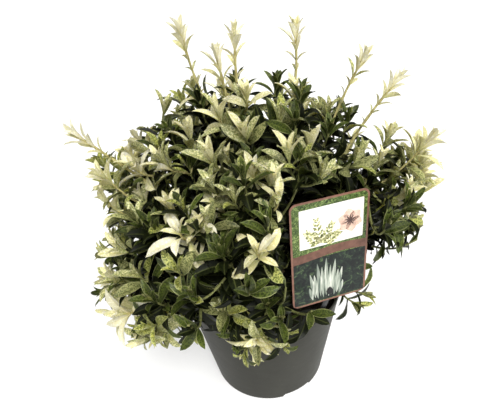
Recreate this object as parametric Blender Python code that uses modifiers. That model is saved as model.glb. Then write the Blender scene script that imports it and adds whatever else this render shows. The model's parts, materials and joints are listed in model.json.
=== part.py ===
"""A variegated evergreen spindle bush in its round nursery pot, with a plain
picture label on a stake.

The bush is a short stem on the soil, one bough to each mass of foliage, and
masses of leafy shoots that share the crown out between them. Each mass owns
the cone of space round its own direction from the crown's centre, so no leaf
of one mass can reach into the next. Metres, +Z up, the front towards -Y, and
the origin in the middle of the pot's flat underside.
"""

import math
import random

import bmesh
import bpy
from mathutils import Matrix, Vector
from mathutils.bvhtree import BVHTree

# ---------------------------------------------------------------- the pot
POT_HEIGHT = 0.133
POT_RIM_RADIUS = 0.095
POT_BASE_RADIUS = 0.0705
POT_WALL = 0.0018
POT_FLOOR = 0.0025
POT_LIP_HEIGHT = 0.003  # thickened edge round the mouth
POT_LIP_THICKNESS = 0.0026
POT_FOOT_ROUNDING = 0.003
ROUND_STEPS = 48  # sides of the pot and of the soil

# ---------------------------------------------------------------- the soil
SOIL_BELOW_RIM = 0.014
SOIL_EDGE = 0.002  # its top falls away this much at the pot's wall
GAP = 0.0003  # left between pieces that rest on each other

# ---------------------------------------------------------------- the label
LABEL_WIDTH = 0.084
LABEL_HEIGHT = 0.128
LABEL_THICKNESS = 0.0008
LABEL_CORNER = 0.007
LABEL_CENTRE = Vector((0.0682, -0.0766, 0.2276))
LABEL_TURN = math.radians(15.2)  # about the vertical, to face front left
LABEL_SEEN_FROM = Vector((-0.49, 0.83))  # across and up, for each unit out
HOLE_RADIUS = 0.0034
HOLE_ABOVE_EDGE = 0.0125
STAKE_WIDTH = 0.007
STAKE_THICKNESS = 0.0016
STAKE_DEPTH_IN_SOIL = 0.045
STAKE_SETBACK = 0.0230  # how far behind the label the stake enters the soil
STAKE_HEAD = 0.006  # the stake's reach above the hole
BUTTON_RADIUS = 0.0044
BUTTON_THICKNESS = 0.0012

# ---------------------------------------------------------------- the bush
CROWN_CENTRE = Vector((0.003, 0.002, 0.165))
STEM_TOP = 0.160
STEM_FOOT_RADIUS = 0.0125
STEM_TOP_RADIUS = 0.0075
STEM_FLARE = 0.22  # share of the stem's height over which the foot spreads
BOUGH_BASE_RADIUS = 0.0027
BOUGH_TIP_RADIUS = 0.0021
BOUGH_SQUARE_END = 0.003
LOW_BOUGH_HEIGHTS = (0.1330, 0.1395)  # taken in turn round the stem
LOW_BOUGH_RISE = 25  # degrees above level where they leave the stem
HIGH_BOUGH_HEIGHT = 0.1505
HIGH_BOUGH_RISE = 45
FORK_SHARE = 0.30  # where a bough ends and its mass begins, as share of reach
SPINE_SHARE = 0.62  # where the mass's own stem ends
SPINE_TIP_RADIUS = 0.0014
TWIG_BASE_RADIUS = 0.0017
TWIG_TIP_RADIUS = 0.0011
TWIG_STEPS = 3
SHOOT_SPREAD = math.radians(29)
EDGE_ANGLE = math.radians(4.5)  # shoots keep this far inside their own cone
CELL_MARGIN = 0.0005  # and leaves this far
CLEARANCE = 0.0008  # from leaf to limb, pot and label
UNION_WELD = 0.0000001
GOLDEN_ANGLE = math.pi * (3 - math.sqrt(5))
TRIES = 5
SEED = 11

# Leaves are larger than life, so that a few of them fill the crown.
LEAF_LENGTH = 0.054
LEAF_WIDTH_SHARE = 0.46
SECOND_CHOICE = 0.72  # size of the leaf tried where a full one has no room
LEAF_THICKNESS = 0.0019
LEAF_WIDEST_AT = 0.48
LEAF_ROOT = 0.0004  # how far the leaf's foot lies behind the twig's middle
BARE_STALK = 0.006  # leaves of one shoot may meet this near to their feet
TIP_LEAF_REACH = 0.034  # how far the last leaves stand out past their twig
# Pairs of leaves up a shoot: share of its length, lean off the shoot, size.
LEAF_PAIRS = (
    (0.16, 78, 0.9),
    (0.38, 74, 1.0),
    (0.60, 66, 1.0),
    (0.82, 50, 0.95),
    (1.0, 20, 0.72),
)
LEADER_PAIRS = ((0.30, 68, 0.85), (0.56, 60, 0.8), (0.80, 42, 0.72), (1.0, 16, 0.68))
BARE_LEADER_REACH = 0.255  # longer ones carry only their last two pairs

# name: azimuth from +X, elevation, reach from the crown's centre, shoots
MASSES = {
    "foliage_top": (90, 88, 0.236, 6),
    "foliage_high_front": (-90, 50, 0.222, 8),
    "foliage_high_right": (-18, 50, 0.210, 5),
    "foliage_high_back_right": (54, 50, 0.218, 6),
    "foliage_high_back_left": (126, 50, 0.222, 6),
    "foliage_high_left": (198, 50, 0.220, 5),
    "foliage_low_right": (2, 10, 0.200, 6),
    "foliage_low_back_right": (45, 8, 0.198, 6),
    "foliage_low_back": (90, 8, 0.190, 6),
    "foliage_low_back_left": (135, 8, 0.198, 6),
    "foliage_low_left": (180, 8, 0.208, 6),
    "foliage_low_front_left": (225, 6, 0.194, 6),
    "foliage_low_front": (270, 8, 0.170, 8),
    "foliage_low_front_right": (322, 6, 0.146, 6),
}
# Lowest elevation of a shoot: the crown's skirt is highest on the right.
SKIRT_MEAN = -1
SKIRT_SWING = 6
SKIRT_HIGHEST_AT = 20  # azimuth
SKIRT_HANG = 7  # degrees that leaves may hang below the lowest shoots

# Long shoots that stand out of the crown: azimuth, elevation, reach.
LEADERS = (
    (164, 76, 0.290),
    (216, 82, 0.268),
    (202, 87, 0.282),
    (27, 77, 0.282),
    (8, 63, 0.268),
    (0, 55, 0.264),
    (171, 62, 0.238),
    (191, 57, 0.215),
    (187, 47, 0.266),
    (170, 35, 0.240),
    (196, 43, 0.238),
    (202, 38, 0.226),
    (204, 12, 0.209),
    (206, 2, 0.208),
    (214, -6, 0.186),
    (22, 61, 0.212),
    (-1, 45, 0.226),
    (-13, 41, 0.252),
    (-10, 34, 0.232),
    (-4, 37, 0.238),
    (-6, 24, 0.226),
    (-84, -10, 0.134),
    (-103, -12, 0.138),
    (-30, -7, 0.146),
    (-42, -11, 0.124),
    (-134, -9, 0.142),
)


def clear_scene():
    for obj in list(bpy.data.objects):
        bpy.data.objects.remove(obj, do_unlink=True)


def new_collection(name):
    collection = bpy.data.collections.new(name)
    bpy.context.scene.collection.children.link(collection)
    return collection


def plastic_or_plant(name, colour, roughness, metallic=0.0):
    """A Principled BSDF in one plain colour."""
    material = bpy.data.materials.new(name)
    material.use_nodes = True
    shader = material.node_tree.nodes["Principled BSDF"]
    shader.inputs["Base Color"].default_value = (*colour, 1.0)
    shader.inputs["Roughness"].default_value = roughness
    shader.inputs["Metallic"].default_value = metallic
    return material


def add_object(name, data, material, collection):
    obj = bpy.data.objects.new(name, data)
    if material:
        data.materials.append(material)
    collection.objects.link(obj)
    return obj


def mesh_of(obj, weld=0.00001):
    """The object's evaluated shape in world space, with near points welded."""
    bpy.context.view_layer.update()
    graph = bpy.context.evaluated_depsgraph_get()
    mesh = bpy.data.meshes.new_from_object(obj.evaluated_get(graph))
    mesh.transform(obj.matrix_world)
    bm = bmesh.new()
    bm.from_mesh(mesh)
    bmesh.ops.remove_doubles(bm, verts=bm.verts, dist=weld)
    bm.to_mesh(mesh)
    bm.free()
    return mesh


def turned(name, profile, material, collection):
    """A solid of revolution about +Z. The profile runs down its outer side."""
    mesh = bpy.data.meshes.new(name)
    bm = bmesh.new()
    points = [bm.verts.new((radius, 0.0, height)) for radius, height in profile]
    for a, b in zip(points, points[1:]):
        bm.edges.new((a, b))
    bm.to_mesh(mesh)
    bm.free()
    obj = add_object(name, mesh, material, collection)
    screw = obj.modifiers.new("Turn", "SCREW")
    screw.steps = screw.render_steps = ROUND_STEPS
    screw.use_merge_vertices = True
    screw.merge_threshold = 0.00001
    return obj


# ------------------------------------------------------------ pot and soil
def pot_outer_radius(height):
    share = height / POT_HEIGHT
    return POT_BASE_RADIUS + (POT_RIM_RADIUS - POT_BASE_RADIUS) * share


def make_pot(material, collection):
    lip_foot = POT_HEIGHT - POT_LIP_HEIGHT
    inner = [
        (0.0, POT_FLOOR),
        (pot_outer_radius(POT_FLOOR) - POT_WALL, POT_FLOOR),
        (pot_outer_radius(lip_foot) - POT_WALL, lip_foot),
        (POT_RIM_RADIUS - POT_LIP_THICKNESS, lip_foot + POT_LIP_HEIGHT / 2),
        (POT_RIM_RADIUS - POT_LIP_THICKNESS, POT_HEIGHT),
    ]
    outer = [(POT_RIM_RADIUS, POT_HEIGHT)]
    foot = pot_outer_radius(POT_FOOT_ROUNDING)
    for step in range(3):
        turn = math.radians(45 * step)
        outer.append(
            (
                foot - POT_FOOT_ROUNDING * (1 - math.cos(turn)),
                POT_FOOT_ROUNDING * (1 - math.sin(turn)),
            )
        )
    outer.append((0.0, 0.0))
    return turned("pot", inner + outer, material, collection)


def soil_top():
    return POT_HEIGHT - SOIL_BELOW_RIM


def make_soil(material, collection, stake_cutter):
    low, high = POT_FLOOR + GAP, soil_top()
    edge = high - SOIL_EDGE
    profile = [
        (0.0, high),
        (pot_outer_radius(edge) - POT_WALL - GAP - SOIL_EDGE, high),
        (pot_outer_radius(edge) - POT_WALL - GAP, edge),
        (pot_outer_radius(low) - POT_WALL - GAP, low),
        (0.0, low),
    ]
    soil = turned("soil", profile, material, collection)
    cut = soil.modifiers.new("Stake slot", "BOOLEAN")
    cut.operation = "DIFFERENCE"
    cut.solver = "EXACT"
    cut.object = stake_cutter
    return soil


# --------------------------------------------------------- label and stake
def label_matrix():
    """Local X across the label, Y up it, Z out of its printed face."""
    across = Vector((math.cos(LABEL_TURN), math.sin(LABEL_TURN), 0.0))
    up = Vector((0.0, 0.0, 1.0))
    face = across.cross(up)
    turn = Matrix((across, up, face)).transposed().to_4x4()
    return Matrix.Translation(LABEL_CENTRE) @ turn


def flat_outline(name, outlines, thickness, material, collection):
    """A plate cut to closed outlines, the first with the rest as its holes."""
    curve = bpy.data.curves.new(name, "CURVE")
    curve.dimensions = "2D"
    curve.fill_mode = "BOTH"
    curve.extrude = thickness / 2
    for outline in outlines:
        spline = curve.splines.new("POLY")
        spline.points.add(len(outline) - 1)
        for point, (x, y) in zip(spline.points, outline):
            point.co = (x, y, 0.0, 1.0)
        spline.use_cyclic_u = True
    return add_object(name, curve, material, collection)


def arc(centre, radius, start, stop, steps):
    for i in range(steps + 1):
        angle = math.radians(start + (stop - start) * i / steps)
        yield (
            centre[0] + radius * math.cos(angle),
            centre[1] + radius * math.sin(angle),
        )


def make_label(material, collection):
    half_w = LABEL_WIDTH / 2 - LABEL_CORNER
    half_h = LABEL_HEIGHT / 2 - LABEL_CORNER
    outline = []
    corners = ((1, 1, 0), (-1, 1, 90), (-1, -1, 180), (1, -1, 270))
    for side_x, side_y, start in corners:
        centre = (side_x * half_w, side_y * half_h)
        outline += arc(centre, LABEL_CORNER, start, start + 90, 4)
    hole_centre = (0.0, HOLE_ABOVE_EDGE - LABEL_HEIGHT / 2)
    hole = list(arc(hole_centre, HOLE_RADIUS, 0, 330, 11))
    label = flat_outline(
        "label", [outline, hole], LABEL_THICKNESS, material, collection
    )
    label.matrix_world = label_matrix()
    return label


def stake_line():
    """The stake seen from its side: (behind the label, height), foot to head."""
    rest = LABEL_THICKNESS / 2 + GAP + STAKE_THICKNESS / 2
    hole = LABEL_CENTRE.z - LABEL_HEIGHT / 2 + HOLE_ABOVE_EDGE
    lean = STAKE_SETBACK / (hole - STAKE_HEAD - soil_top())
    bend_low = (rest, hole - STAKE_HEAD)
    foot_drop = STAKE_DEPTH_IN_SOIL
    foot = (rest + STAKE_SETBACK + lean * foot_drop, soil_top() - foot_drop)
    return [foot, bend_low, (rest, hole + STAKE_HEAD)]


def make_stake(material, collection, cutters):
    line = [Vector((-behind, height)) for behind, height in stake_line()]
    half = STAKE_THICKNESS / 2
    side = [point + Vector((half, 0.0)) for point in line]
    side += [point - Vector((half, 0.0)) for point in reversed(line)]
    stake = flat_outline(
        "label_stake", [[tuple(p) for p in side]], STAKE_WIDTH, material, collection
    )
    # Local X out of the label's face, Y up, Z across the label.
    frame = label_matrix().to_3x3()
    across, face = frame.col[0], frame.col[2]
    up = Vector((0.0, 0.0, 1.0))
    turn = Matrix((face, up, face.cross(up))).transposed().to_4x4()
    foot = Vector((LABEL_CENTRE.x, LABEL_CENTRE.y, 0.0))
    stake.matrix_world = Matrix.Translation(foot) @ turn
    body = add_object("label_stake", mesh_of(stake), None, collection)
    bpy.data.objects.remove(stake)
    body.name = "label_stake"

    slot = bpy.data.objects.new("stake_slot", body.data.copy())
    cutters.objects.link(slot)
    slot.hide_render = True
    slot.display_type = "WIRE"
    widen_for_clearance(slot.data, across, face)

    # The button: a shaft through the label's hole with a head in front.
    shaft_radius = HOLE_RADIUS - GAP
    back = LABEL_THICKNESS / 2 + GAP + STAKE_THICKNESS / 2
    front = LABEL_THICKNESS / 2 + GAP
    hole = Vector((0.0, HOLE_ABOVE_EDGE - LABEL_HEIGHT / 2, 0.0))
    knob = new_collection("Button")
    lengths = (
        ("shaft", shaft_radius, -back, front + BUTTON_THICKNESS / 2),
        ("head", BUTTON_RADIUS, front, front + BUTTON_THICKNESS),
    )
    for name, radius, low, high in lengths:
        bm = bmesh.new()
        bmesh.ops.create_cone(
            bm,
            cap_ends=True,
            segments=12,
            radius1=radius,
            radius2=radius,
            depth=high - low,
        )
        middle = hole + Vector((0.0, 0.0, (low + high) / 2))
        bm.transform(label_matrix() @ Matrix.Translation(middle))
        mesh = bpy.data.meshes.new(name)
        bm.to_mesh(mesh)
        bm.free()
        knob.objects.link(bpy.data.objects.new(name, mesh))
    join(body, knob)
    body.data.materials.append(material)
    return body


def widen_for_clearance(mesh, across, face):
    """Moves a strip's sides out by the gap, so that it cuts its own slot."""
    middle = sum((v.co for v in mesh.vertices), Vector()) / len(mesh.vertices)
    for vertex in mesh.vertices:
        sideways = (vertex.co - middle).dot(across)
        vertex.co += across * math.copysign(GAP, sideways)
    mesh.calc_loop_triangles()
    bm = bmesh.new()
    bm.from_mesh(mesh)
    bm.normal_update()
    for vertex in bm.verts:
        outwards = vertex.normal.dot(face)
        vertex.co += face * math.copysign(GAP, outwards)
        if vertex.co.z < soil_top():
            vertex.co.z -= GAP
    bm.to_mesh(mesh)
    bm.free()


# ---------------------------------------------------------- limbs and leaves
def bezier(points, t):
    """The point at t on the curve with these three or four handles."""
    while len(points) > 1:
        points = [a.lerp(b, t) for a, b in zip(points, points[1:])]
    return points[0]


def direction(azimuth, elevation):
    a, e = math.radians(azimuth), math.radians(elevation)
    return Vector((math.cos(a) * math.cos(e), math.sin(a) * math.cos(e), math.sin(e)))


def frame_along(axis, hint=Vector((0.0, 0.0, 1.0))):
    """A rotation whose Z runs along the axis and whose Y leans to the hint."""
    z = axis.normalized()
    if abs(z.dot(hint)) > 0.98:
        hint = Vector((0.0, 1.0, 0.0))
    x = hint.cross(z).normalized()
    return Matrix((x, z.cross(x), z)).transposed()


def limb_mesh(path, radii, sides):
    """One tapering limb: a flat end extruded from ring to ring of its path."""
    bm = bmesh.new()
    bmesh.ops.create_circle(bm, cap_ends=True, radius=1.0, segments=sides)
    ring = list(bm.verts)
    face = bm.faces[:][0]
    unit = [v.co.copy() for v in ring]
    for i, (point, radius) in enumerate(zip(path, radii)):
        ahead = path[min(i + 1, len(path) - 1)] - path[max(i - 1, 0)]
        turn = frame_along(ahead)
        if i:
            made = bmesh.ops.extrude_face_region(bm, geom=[face])["geom"]
            if i > 1:
                bmesh.ops.delete(bm, geom=[face], context="FACES_ONLY")
            face = next(g for g in made if isinstance(g, bmesh.types.BMFace))
            matched = {}
            for vertex in face.verts:
                near = min(
                    range(sides), key=lambda k: (vertex.co - last[k]).length_squared
                )
                matched[near] = vertex
            ring = [matched[k] for k in range(sides)]
        for vertex, corner in zip(ring, unit):
            vertex.co = point + turn @ (corner * radius)
        last = [v.co.copy() for v in ring]
    bmesh.ops.recalc_face_normals(bm, faces=bm.faces)
    mesh = bpy.data.meshes.new("limb")
    bm.to_mesh(mesh)
    bm.free()
    return mesh


def leaf_mesh(length, foot=0.0):
    """A pointed blade keeled along its middle, from the origin up +Z."""
    bm = bmesh.new()
    cone = {"segments": 3, "radius1": 1.0, "radius2": 0.0, "depth": 1.0}
    bmesh.ops.create_cone(bm, cap_ends=True, **cone)
    side = length * LEAF_WIDTH_SHARE / 2
    widest = length * LEAF_WIDEST_AT
    corners = [
        (0.0, 0.0, foot or -LEAF_ROOT),
        (-side, LEAF_THICKNESS, widest),
        (side, LEAF_THICKNESS, widest),
        (0.0, 0.0, length),
    ]
    for vertex, corner in zip(bm.verts, corners):
        vertex.co = corner
    bmesh.ops.recalc_face_normals(bm, faces=bm.faces)
    mesh = bpy.data.meshes.new("leaf")
    bm.to_mesh(mesh)
    bm.free()
    return mesh


def stem_axis(height):
    """The stem's middle at a height: it leans a little and bends back."""
    share = (height - soil_top()) / (STEM_TOP - soil_top())
    start = Vector((-0.002, -0.001, 0.0))
    lean = Vector((CROWN_CENTRE.x, CROWN_CENTRE.y, 0.0)) - start
    point = start + lean * (share * share * (3 - 2 * share))
    point.z = height
    return point


def stem_radius(height):
    share = (height - soil_top()) / (STEM_TOP - soil_top())
    waist = STEM_TOP_RADIUS + 0.0012 * (1 - share)
    flare = max(0.0, 1 - share / STEM_FLARE) ** 2
    return waist + (STEM_FOOT_RADIUS - waist) * flare


def make_stem(material, collection):
    low = soil_top() + GAP
    heights = [low + (STEM_TOP - low) * s for s in (0, 0.08, 0.2, 0.45, 0.72, 1)]
    path = [stem_axis(h) for h in heights]
    path[0].xy = path[1].xy
    mesh = limb_mesh(path, [stem_radius(h) for h in heights], 12)
    for vertex in mesh.vertices:  # both ends are cut level
        if abs(vertex.co.z - low) < 0.001:
            vertex.co.z = low
        if vertex.co.z > STEM_TOP - 0.002:
            vertex.co.z = STEM_TOP
    return add_object("main_stem", mesh, material, collection)


def mass_direction(name):
    azimuth, elevation = MASSES[name][:2]
    return direction(azimuth, elevation)


def bough_path(name):
    """From the stem's bark to the point where the mass begins."""
    azimuth, elevation, reach, _ = MASSES[name]
    towards = mass_direction(name)
    end = CROWN_CENTRE + towards * (reach * FORK_SHARE)
    if name == "foliage_top":
        start = stem_axis(STEM_TOP) + Vector((0.0, 0.0, GAP))
        leaving = Vector((0.0, 0.0, 1.0))
    else:
        low = [n for n in MASSES if "_low_" in n]
        if name in low:
            height = LOW_BOUGH_HEIGHTS[low.index(name) % 2]
        else:
            height = HIGH_BOUGH_HEIGHT
        rise = LOW_BOUGH_RISE if name in low else HIGH_BOUGH_RISE
        leaving = direction(azimuth, rise)
        clear = stem_radius(height) + GAP + BOUGH_BASE_RADIUS * leaving.z
        start = stem_axis(height) + direction(azimuth, 0) * clear
    # Square ends: the first and last lengths run straight.
    near, far = start + leaving * BOUGH_SQUARE_END, end - towards * BOUGH_SQUARE_END
    third = (far - near).length / 3
    handles = [near, near + leaving * third, far - towards * third, far]
    return [start, *(bezier(handles, i / 4) for i in range(5)), end]


def make_bough(name, material, collection):
    path = bough_path(name)
    curve = bpy.data.curves.new(name, "CURVE")
    curve.dimensions = "3D"
    curve.bevel_depth = BOUGH_BASE_RADIUS
    curve.bevel_resolution = 0
    curve.use_fill_caps = True
    spline = curve.splines.new("POLY")
    spline.points.add(len(path) - 1)
    for i, (point, place) in enumerate(zip(spline.points, path)):
        share = i / (len(path) - 1)
        point.co = (*place, 1.0)
        point.radius = 1 + (BOUGH_TIP_RADIUS / BOUGH_BASE_RADIUS - 1) * share
    return add_object(name.replace("foliage", "bough"), curve, material, collection)


# ------------------------------------------------------------------ masses
def cell_depth(name, point):
    """How far a point lies inside the mass's own cone, in metres."""
    own = mass_direction(name)
    away = point - CROWN_CENTRE
    return min(
        away.dot(own - other) / (own - other).length
        for other in map(mass_direction, MASSES)
        if (own - other).length > 1e-6
    )


def cell_angle(name, towards):
    """The same as an angle, for a direction from the crown's centre."""
    return math.asin(max(-1.0, min(1.0, cell_depth(name, CROWN_CENTRE + towards))))


def elevation_of(away):
    """Degrees above level, seen from the crown's centre."""
    return math.degrees(math.asin(max(-1.0, min(1.0, away.z / away.length))))


def skirt_elevation(away):
    """The lowest that a shoot may point, in degrees above level."""
    swing = math.atan2(away.y, away.x) - math.radians(SKIRT_HIGHEST_AT)
    return SKIRT_MEAN + SKIRT_SWING * math.cos(swing)


def shoots_of(name, rng):
    """Each shoot's tip, where it roots along the spine, and its leaf pairs."""
    _, _, reach, count = MASSES[name]
    axis = mass_direction(name)
    turn = frame_along(axis)
    phase = rng.uniform(0, 2 * math.pi)
    found = []
    for azimuth, elevation, length in LEADERS:
        towards = direction(azimuth, elevation)
        if cell_angle(name, towards) > 0:
            tip = CROWN_CENTRE + towards * (length - TIP_LEAF_REACH)
            root = 1 - 0.6 * towards.angle(axis) / SHOOT_SPREAD
            pairs = LEADER_PAIRS[2:] if length > BARE_LEADER_REACH else LEADER_PAIRS
            found.append((tip, max(0.15, root), pairs))
    for k in range(count):
        off = SHOOT_SPREAD * math.sqrt((k + 0.35) / count)
        spin = phase + k * GOLDEN_ANGLE
        for _ in range(12):
            ring = Vector((math.cos(spin), math.sin(spin), 0.0)) * math.sin(off)
            towards = turn @ (ring + Vector((0.0, 0.0, math.cos(off))))
            high_enough = elevation_of(towards) > skirt_elevation(towards)
            if cell_angle(name, towards) > EDGE_ANGLE and high_enough:
                break
            off *= 0.88
        length = reach * rng.uniform(0.88, 1.04) - TIP_LEAF_REACH
        root = 1 - 0.8 * (off / SHOOT_SPREAD) * rng.uniform(0.85, 1.0)
        found.append((CROWN_CENTRE + towards * length, max(0.1, root), LEAF_PAIRS))
    return found


def shoot_path(root, tip, steps):
    """Leaves the spine outwards and turns up towards its tip."""
    reach = tip - root
    sag = Vector((0.0, 0.0, -0.10 * reach.length))
    return [bezier([root, root.lerp(tip, 0.5) + sag, tip], i / steps) for i in range(steps + 1)]


def in_front_of_label(point):
    """True in the clear space that lets the label be seen from front and above."""
    local = label_matrix().inverted() @ point
    x = local.x - LABEL_SEEN_FROM.x * local.z
    y = local.y - LABEL_SEEN_FROM.y * local.z
    beside = abs(x) > LABEL_WIDTH / 2 + 0.001 or abs(y) > LABEL_HEIGHT / 2 - 0.001
    return not beside and 0 < local.z < 0.15


def fits(name, mesh, obstacles, lowest=-90):
    """True if this piece stays in its mass's cone and touches nothing else."""
    points = [v.co for v in mesh.vertices]
    middle = sum(points, Vector()) / len(points)
    if min(elevation_of(p - CROWN_CENTRE) for p in points) < lowest:
        return False
    if any(cell_depth(name, p) < CELL_MARGIN for p in points):
        return False
    if any(in_front_of_label(p) for p in [*points, middle]):
        return False
    for a in points:
        for b in (a, middle):
            if obstacles.find_nearest(a.lerp(b, 0.5), CLEARANCE)[0]:
                return False
    return not tree_of([mesh]).overlap(obstacles)


def tree_of(meshes):
    bm = bmesh.new()
    for mesh in meshes:
        bm.from_mesh(mesh)
    tree = BVHTree.FromBMesh(bm)
    bm.free()
    return tree


def leaves_of(path, pairs, rng):
    """Places of a shoot's leaves: opposite pairs, each turned a quarter."""
    quarter = rng.uniform(0, math.pi)
    for pair, (share, lean, size) in enumerate(pairs):
        at = share * (len(path) - 1)
        i = min(int(at), len(path) - 2)
        place = path[i].lerp(path[i + 1], at - i)
        along = frame_along(path[i + 1] - path[i])
        for side in (0, math.pi):
            spin = quarter + pair * math.pi / 2 + side + rng.uniform(-0.25, 0.25)
            tilt = math.radians(lean + rng.uniform(-9, 9))
            length = LEAF_LENGTH * size * rng.uniform(0.88, 1.1)
            turn = (
                along.to_4x4()
                @ Matrix.Rotation(spin, 4, "Z")
                @ Matrix.Rotation(tilt, 4, "X")
            )
            yield Matrix.Translation(place) @ turn, length


def join(base, collection):
    """Fuses a collection's meshes into the base, and removes them."""
    bpy.context.view_layer.update()
    for solver in ("MANIFOLD", "EXACT"):
        union = base.modifiers.new("Join", "BOOLEAN")
        union.operation = "UNION"
        union.operand_type = "COLLECTION"
        union.collection = collection
        union.solver = solver
        mesh = mesh_of(base, UNION_WELD)
        base.modifiers.clear()
        closed = largest_body(mesh)
        if closed:
            break
    base.data = mesh
    for obj in list(collection.objects):
        bpy.data.objects.remove(obj)
    bpy.data.collections.remove(collection)
    return closed


def largest_body(mesh):
    """Drops loose scraps and fills sealed hollows. True if what is left is closed."""
    bm = bmesh.new()
    bm.from_mesh(mesh)
    bmesh.ops.triangulate(bm, faces=bm.faces)
    left = set(bm.faces)
    bodies = []
    while left:
        body, edge = set(), [left.pop()]
        while edge:
            face = edge.pop()
            body.add(face)
            near = {f for e in face.edges for f in e.link_faces} & left
            left -= near
            edge.extend(near)
        bodies.append(body)
    outer = max(bodies, key=len)
    scraps = [f for body in bodies if body is not outer for f in body]
    bmesh.ops.delete(bm, geom=scraps, context="FACES")
    closed = all(edge.is_manifold and edge.is_contiguous for edge in bm.edges)
    bm.to_mesh(mesh)
    bm.free()
    return closed


def make_mass(name, material, collection, obstacles):
    index = list(MASSES).index(name)
    shoots = shoots_of(name, random.Random(SEED * 100 + index))
    reach = MASSES[name][2]
    axis = mass_direction(name)
    start = CROWN_CENTRE + axis * (reach * FORK_SHARE + GAP)
    end = CROWN_CENTRE + axis * (reach * SPINE_SHARE)
    spine = [start, end]
    radii = [BOUGH_TIP_RADIUS, SPINE_TIP_RADIUS]
    mass = add_object(name, limb_mesh(spine, radii, 5), None, collection)
    core = mass.data.copy()
    for attempt in range(TRIES):  # another draw of leaves if a union fails
        rng = random.Random(SEED * 1000 + index * 10 + attempt)
        mass.data = core.copy()
        pieces = new_collection(name + "_pieces")
        for tip, share, pairs in shoots:
            path = shoot_path(start.lerp(end, share), tip, TWIG_STEPS)
            add_shoot(name, path, pairs, rng, pieces, obstacles)
        if join(mass, pieces):
            break
    mass.data.materials.append(material)
    return mass


def add_shoot(name, path, pairs, rng, pieces, obstacles):
    """A twig and its leaves, each left out if it has no room."""
    taper = (TWIG_TIP_RADIUS - TWIG_BASE_RADIUS) / TWIG_STEPS
    radii = [TWIG_BASE_RADIUS + taper * i for i in range(TWIG_STEPS + 1)]
    twig = limb_mesh(path, radii, 3)
    places = list(leaves_of(path, pairs, rng))
    if not fits(name, twig, obstacles):
        return
    tip = path[-1] - CROWN_CENTRE
    lowest = min(skirt_elevation(tip), elevation_of(tip)) - SKIRT_HANG
    others = [obj.data for obj in pieces.objects]
    add_object("twig", twig, None, pieces)
    own = []
    for matrix, length in places:
        for size in (1.0, SECOND_CHOICE):
            leaf, blade = leaf_mesh(length * size), leaf_mesh(length * size, BARE_STALK)
            leaf.transform(matrix)
            blade.transform(matrix)
            crossing = tree_of([leaf]).overlap(tree_of(others))
            crossing = crossing or tree_of([blade]).overlap(tree_of(own))
            if not crossing and fits(name, leaf, obstacles, lowest):
                add_object("leaf", leaf, None, pieces)
                own.append(leaf)
                break


def main():
    clear_scene()
    parts = new_collection("Potted spindle bush")
    cutters = new_collection("Cutters")
    cutters.hide_render = True

    grey = plastic_or_plant("grey_plastic", (0.085, 0.085, 0.076), 0.55)
    peat = plastic_or_plant("peat", (0.022, 0.016, 0.011), 0.95)
    card = plastic_or_plant("printed_card", (0.17, 0.20, 0.13), 0.35)
    black = plastic_or_plant("black_plastic", (0.012, 0.012, 0.013), 0.5)
    bark = plastic_or_plant("bark", (0.16, 0.13, 0.08), 0.85)
    leafage = plastic_or_plant("leaves", (0.22, 0.27, 0.09), 0.45)

    pot = make_pot(grey, parts)
    label = make_label(card, parts)
    stake = make_stake(black, parts, cutters)
    soil = make_soil(peat, parts, cutters.objects["stake_slot"])
    stem = make_stem(bark, parts)
    boughs = [make_bough(name, bark, parts) for name in MASSES]
    solids = [pot, label, stake, soil, stem, *boughs]
    obstacles = tree_of([mesh_of(obj) for obj in solids])
    for name in MASSES:
        make_mass(name, leafage, parts, obstacles)
    for obj in parts.objects:
        if obj.type == "MESH" and obj.name in ("pot", "soil", "main_stem"):
            obj.data.shade_smooth()
            obj.data.set_sharp_from_angle(angle=math.radians(35))


main()
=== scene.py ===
# Dresses the potted spindle bush: pot, soil, bark, twigs, leaves and the label on its stake.
import json
import math
import random

import bmesh
import bpy
import numpy as np
from mathutils import Matrix, Vector, noise

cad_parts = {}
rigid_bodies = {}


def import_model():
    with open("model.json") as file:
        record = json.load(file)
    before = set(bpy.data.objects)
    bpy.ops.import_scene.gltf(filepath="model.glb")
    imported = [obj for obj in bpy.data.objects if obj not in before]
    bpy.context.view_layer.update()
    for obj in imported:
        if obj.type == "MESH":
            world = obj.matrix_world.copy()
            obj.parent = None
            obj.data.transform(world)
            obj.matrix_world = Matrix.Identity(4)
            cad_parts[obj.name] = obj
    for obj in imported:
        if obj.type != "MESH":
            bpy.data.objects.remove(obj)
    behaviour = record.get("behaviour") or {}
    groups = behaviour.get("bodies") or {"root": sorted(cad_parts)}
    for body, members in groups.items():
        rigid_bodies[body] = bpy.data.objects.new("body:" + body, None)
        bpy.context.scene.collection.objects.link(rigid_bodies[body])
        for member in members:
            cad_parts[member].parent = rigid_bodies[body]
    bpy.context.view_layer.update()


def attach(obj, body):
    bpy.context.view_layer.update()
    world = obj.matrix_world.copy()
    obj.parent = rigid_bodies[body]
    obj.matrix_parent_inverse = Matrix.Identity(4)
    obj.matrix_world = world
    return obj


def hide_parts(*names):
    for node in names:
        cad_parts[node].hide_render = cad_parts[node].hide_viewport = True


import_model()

for thing in bpy.data.objects:
    thing.select_set(False)


# small helpers used by every piece
def pickOnly(*pieces):  # selects these alone, the first of them active
    bpy.ops.object.select_all(action="DESELECT")
    for piece in pieces:
        piece.select_set(True)
    bpy.context.view_layer.objects.active = pieces[0]


def added(operator, scale=(1, 1, 1), **settings):  # a new primitive with its place and size in its mesh
    bpy.ops.object.select_all(action="DESELECT")
    operator(**settings)
    piece = bpy.context.object
    piece.scale = scale
    bpy.ops.object.transform_apply(location=True, scale=True)
    return piece


def startEdit(kind="VERT"):
    bpy.ops.object.mode_set(mode="EDIT")
    bpy.ops.mesh.select_mode(type=kind)


def pickAll():
    bpy.ops.mesh.select_all(action="SELECT")


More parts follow.
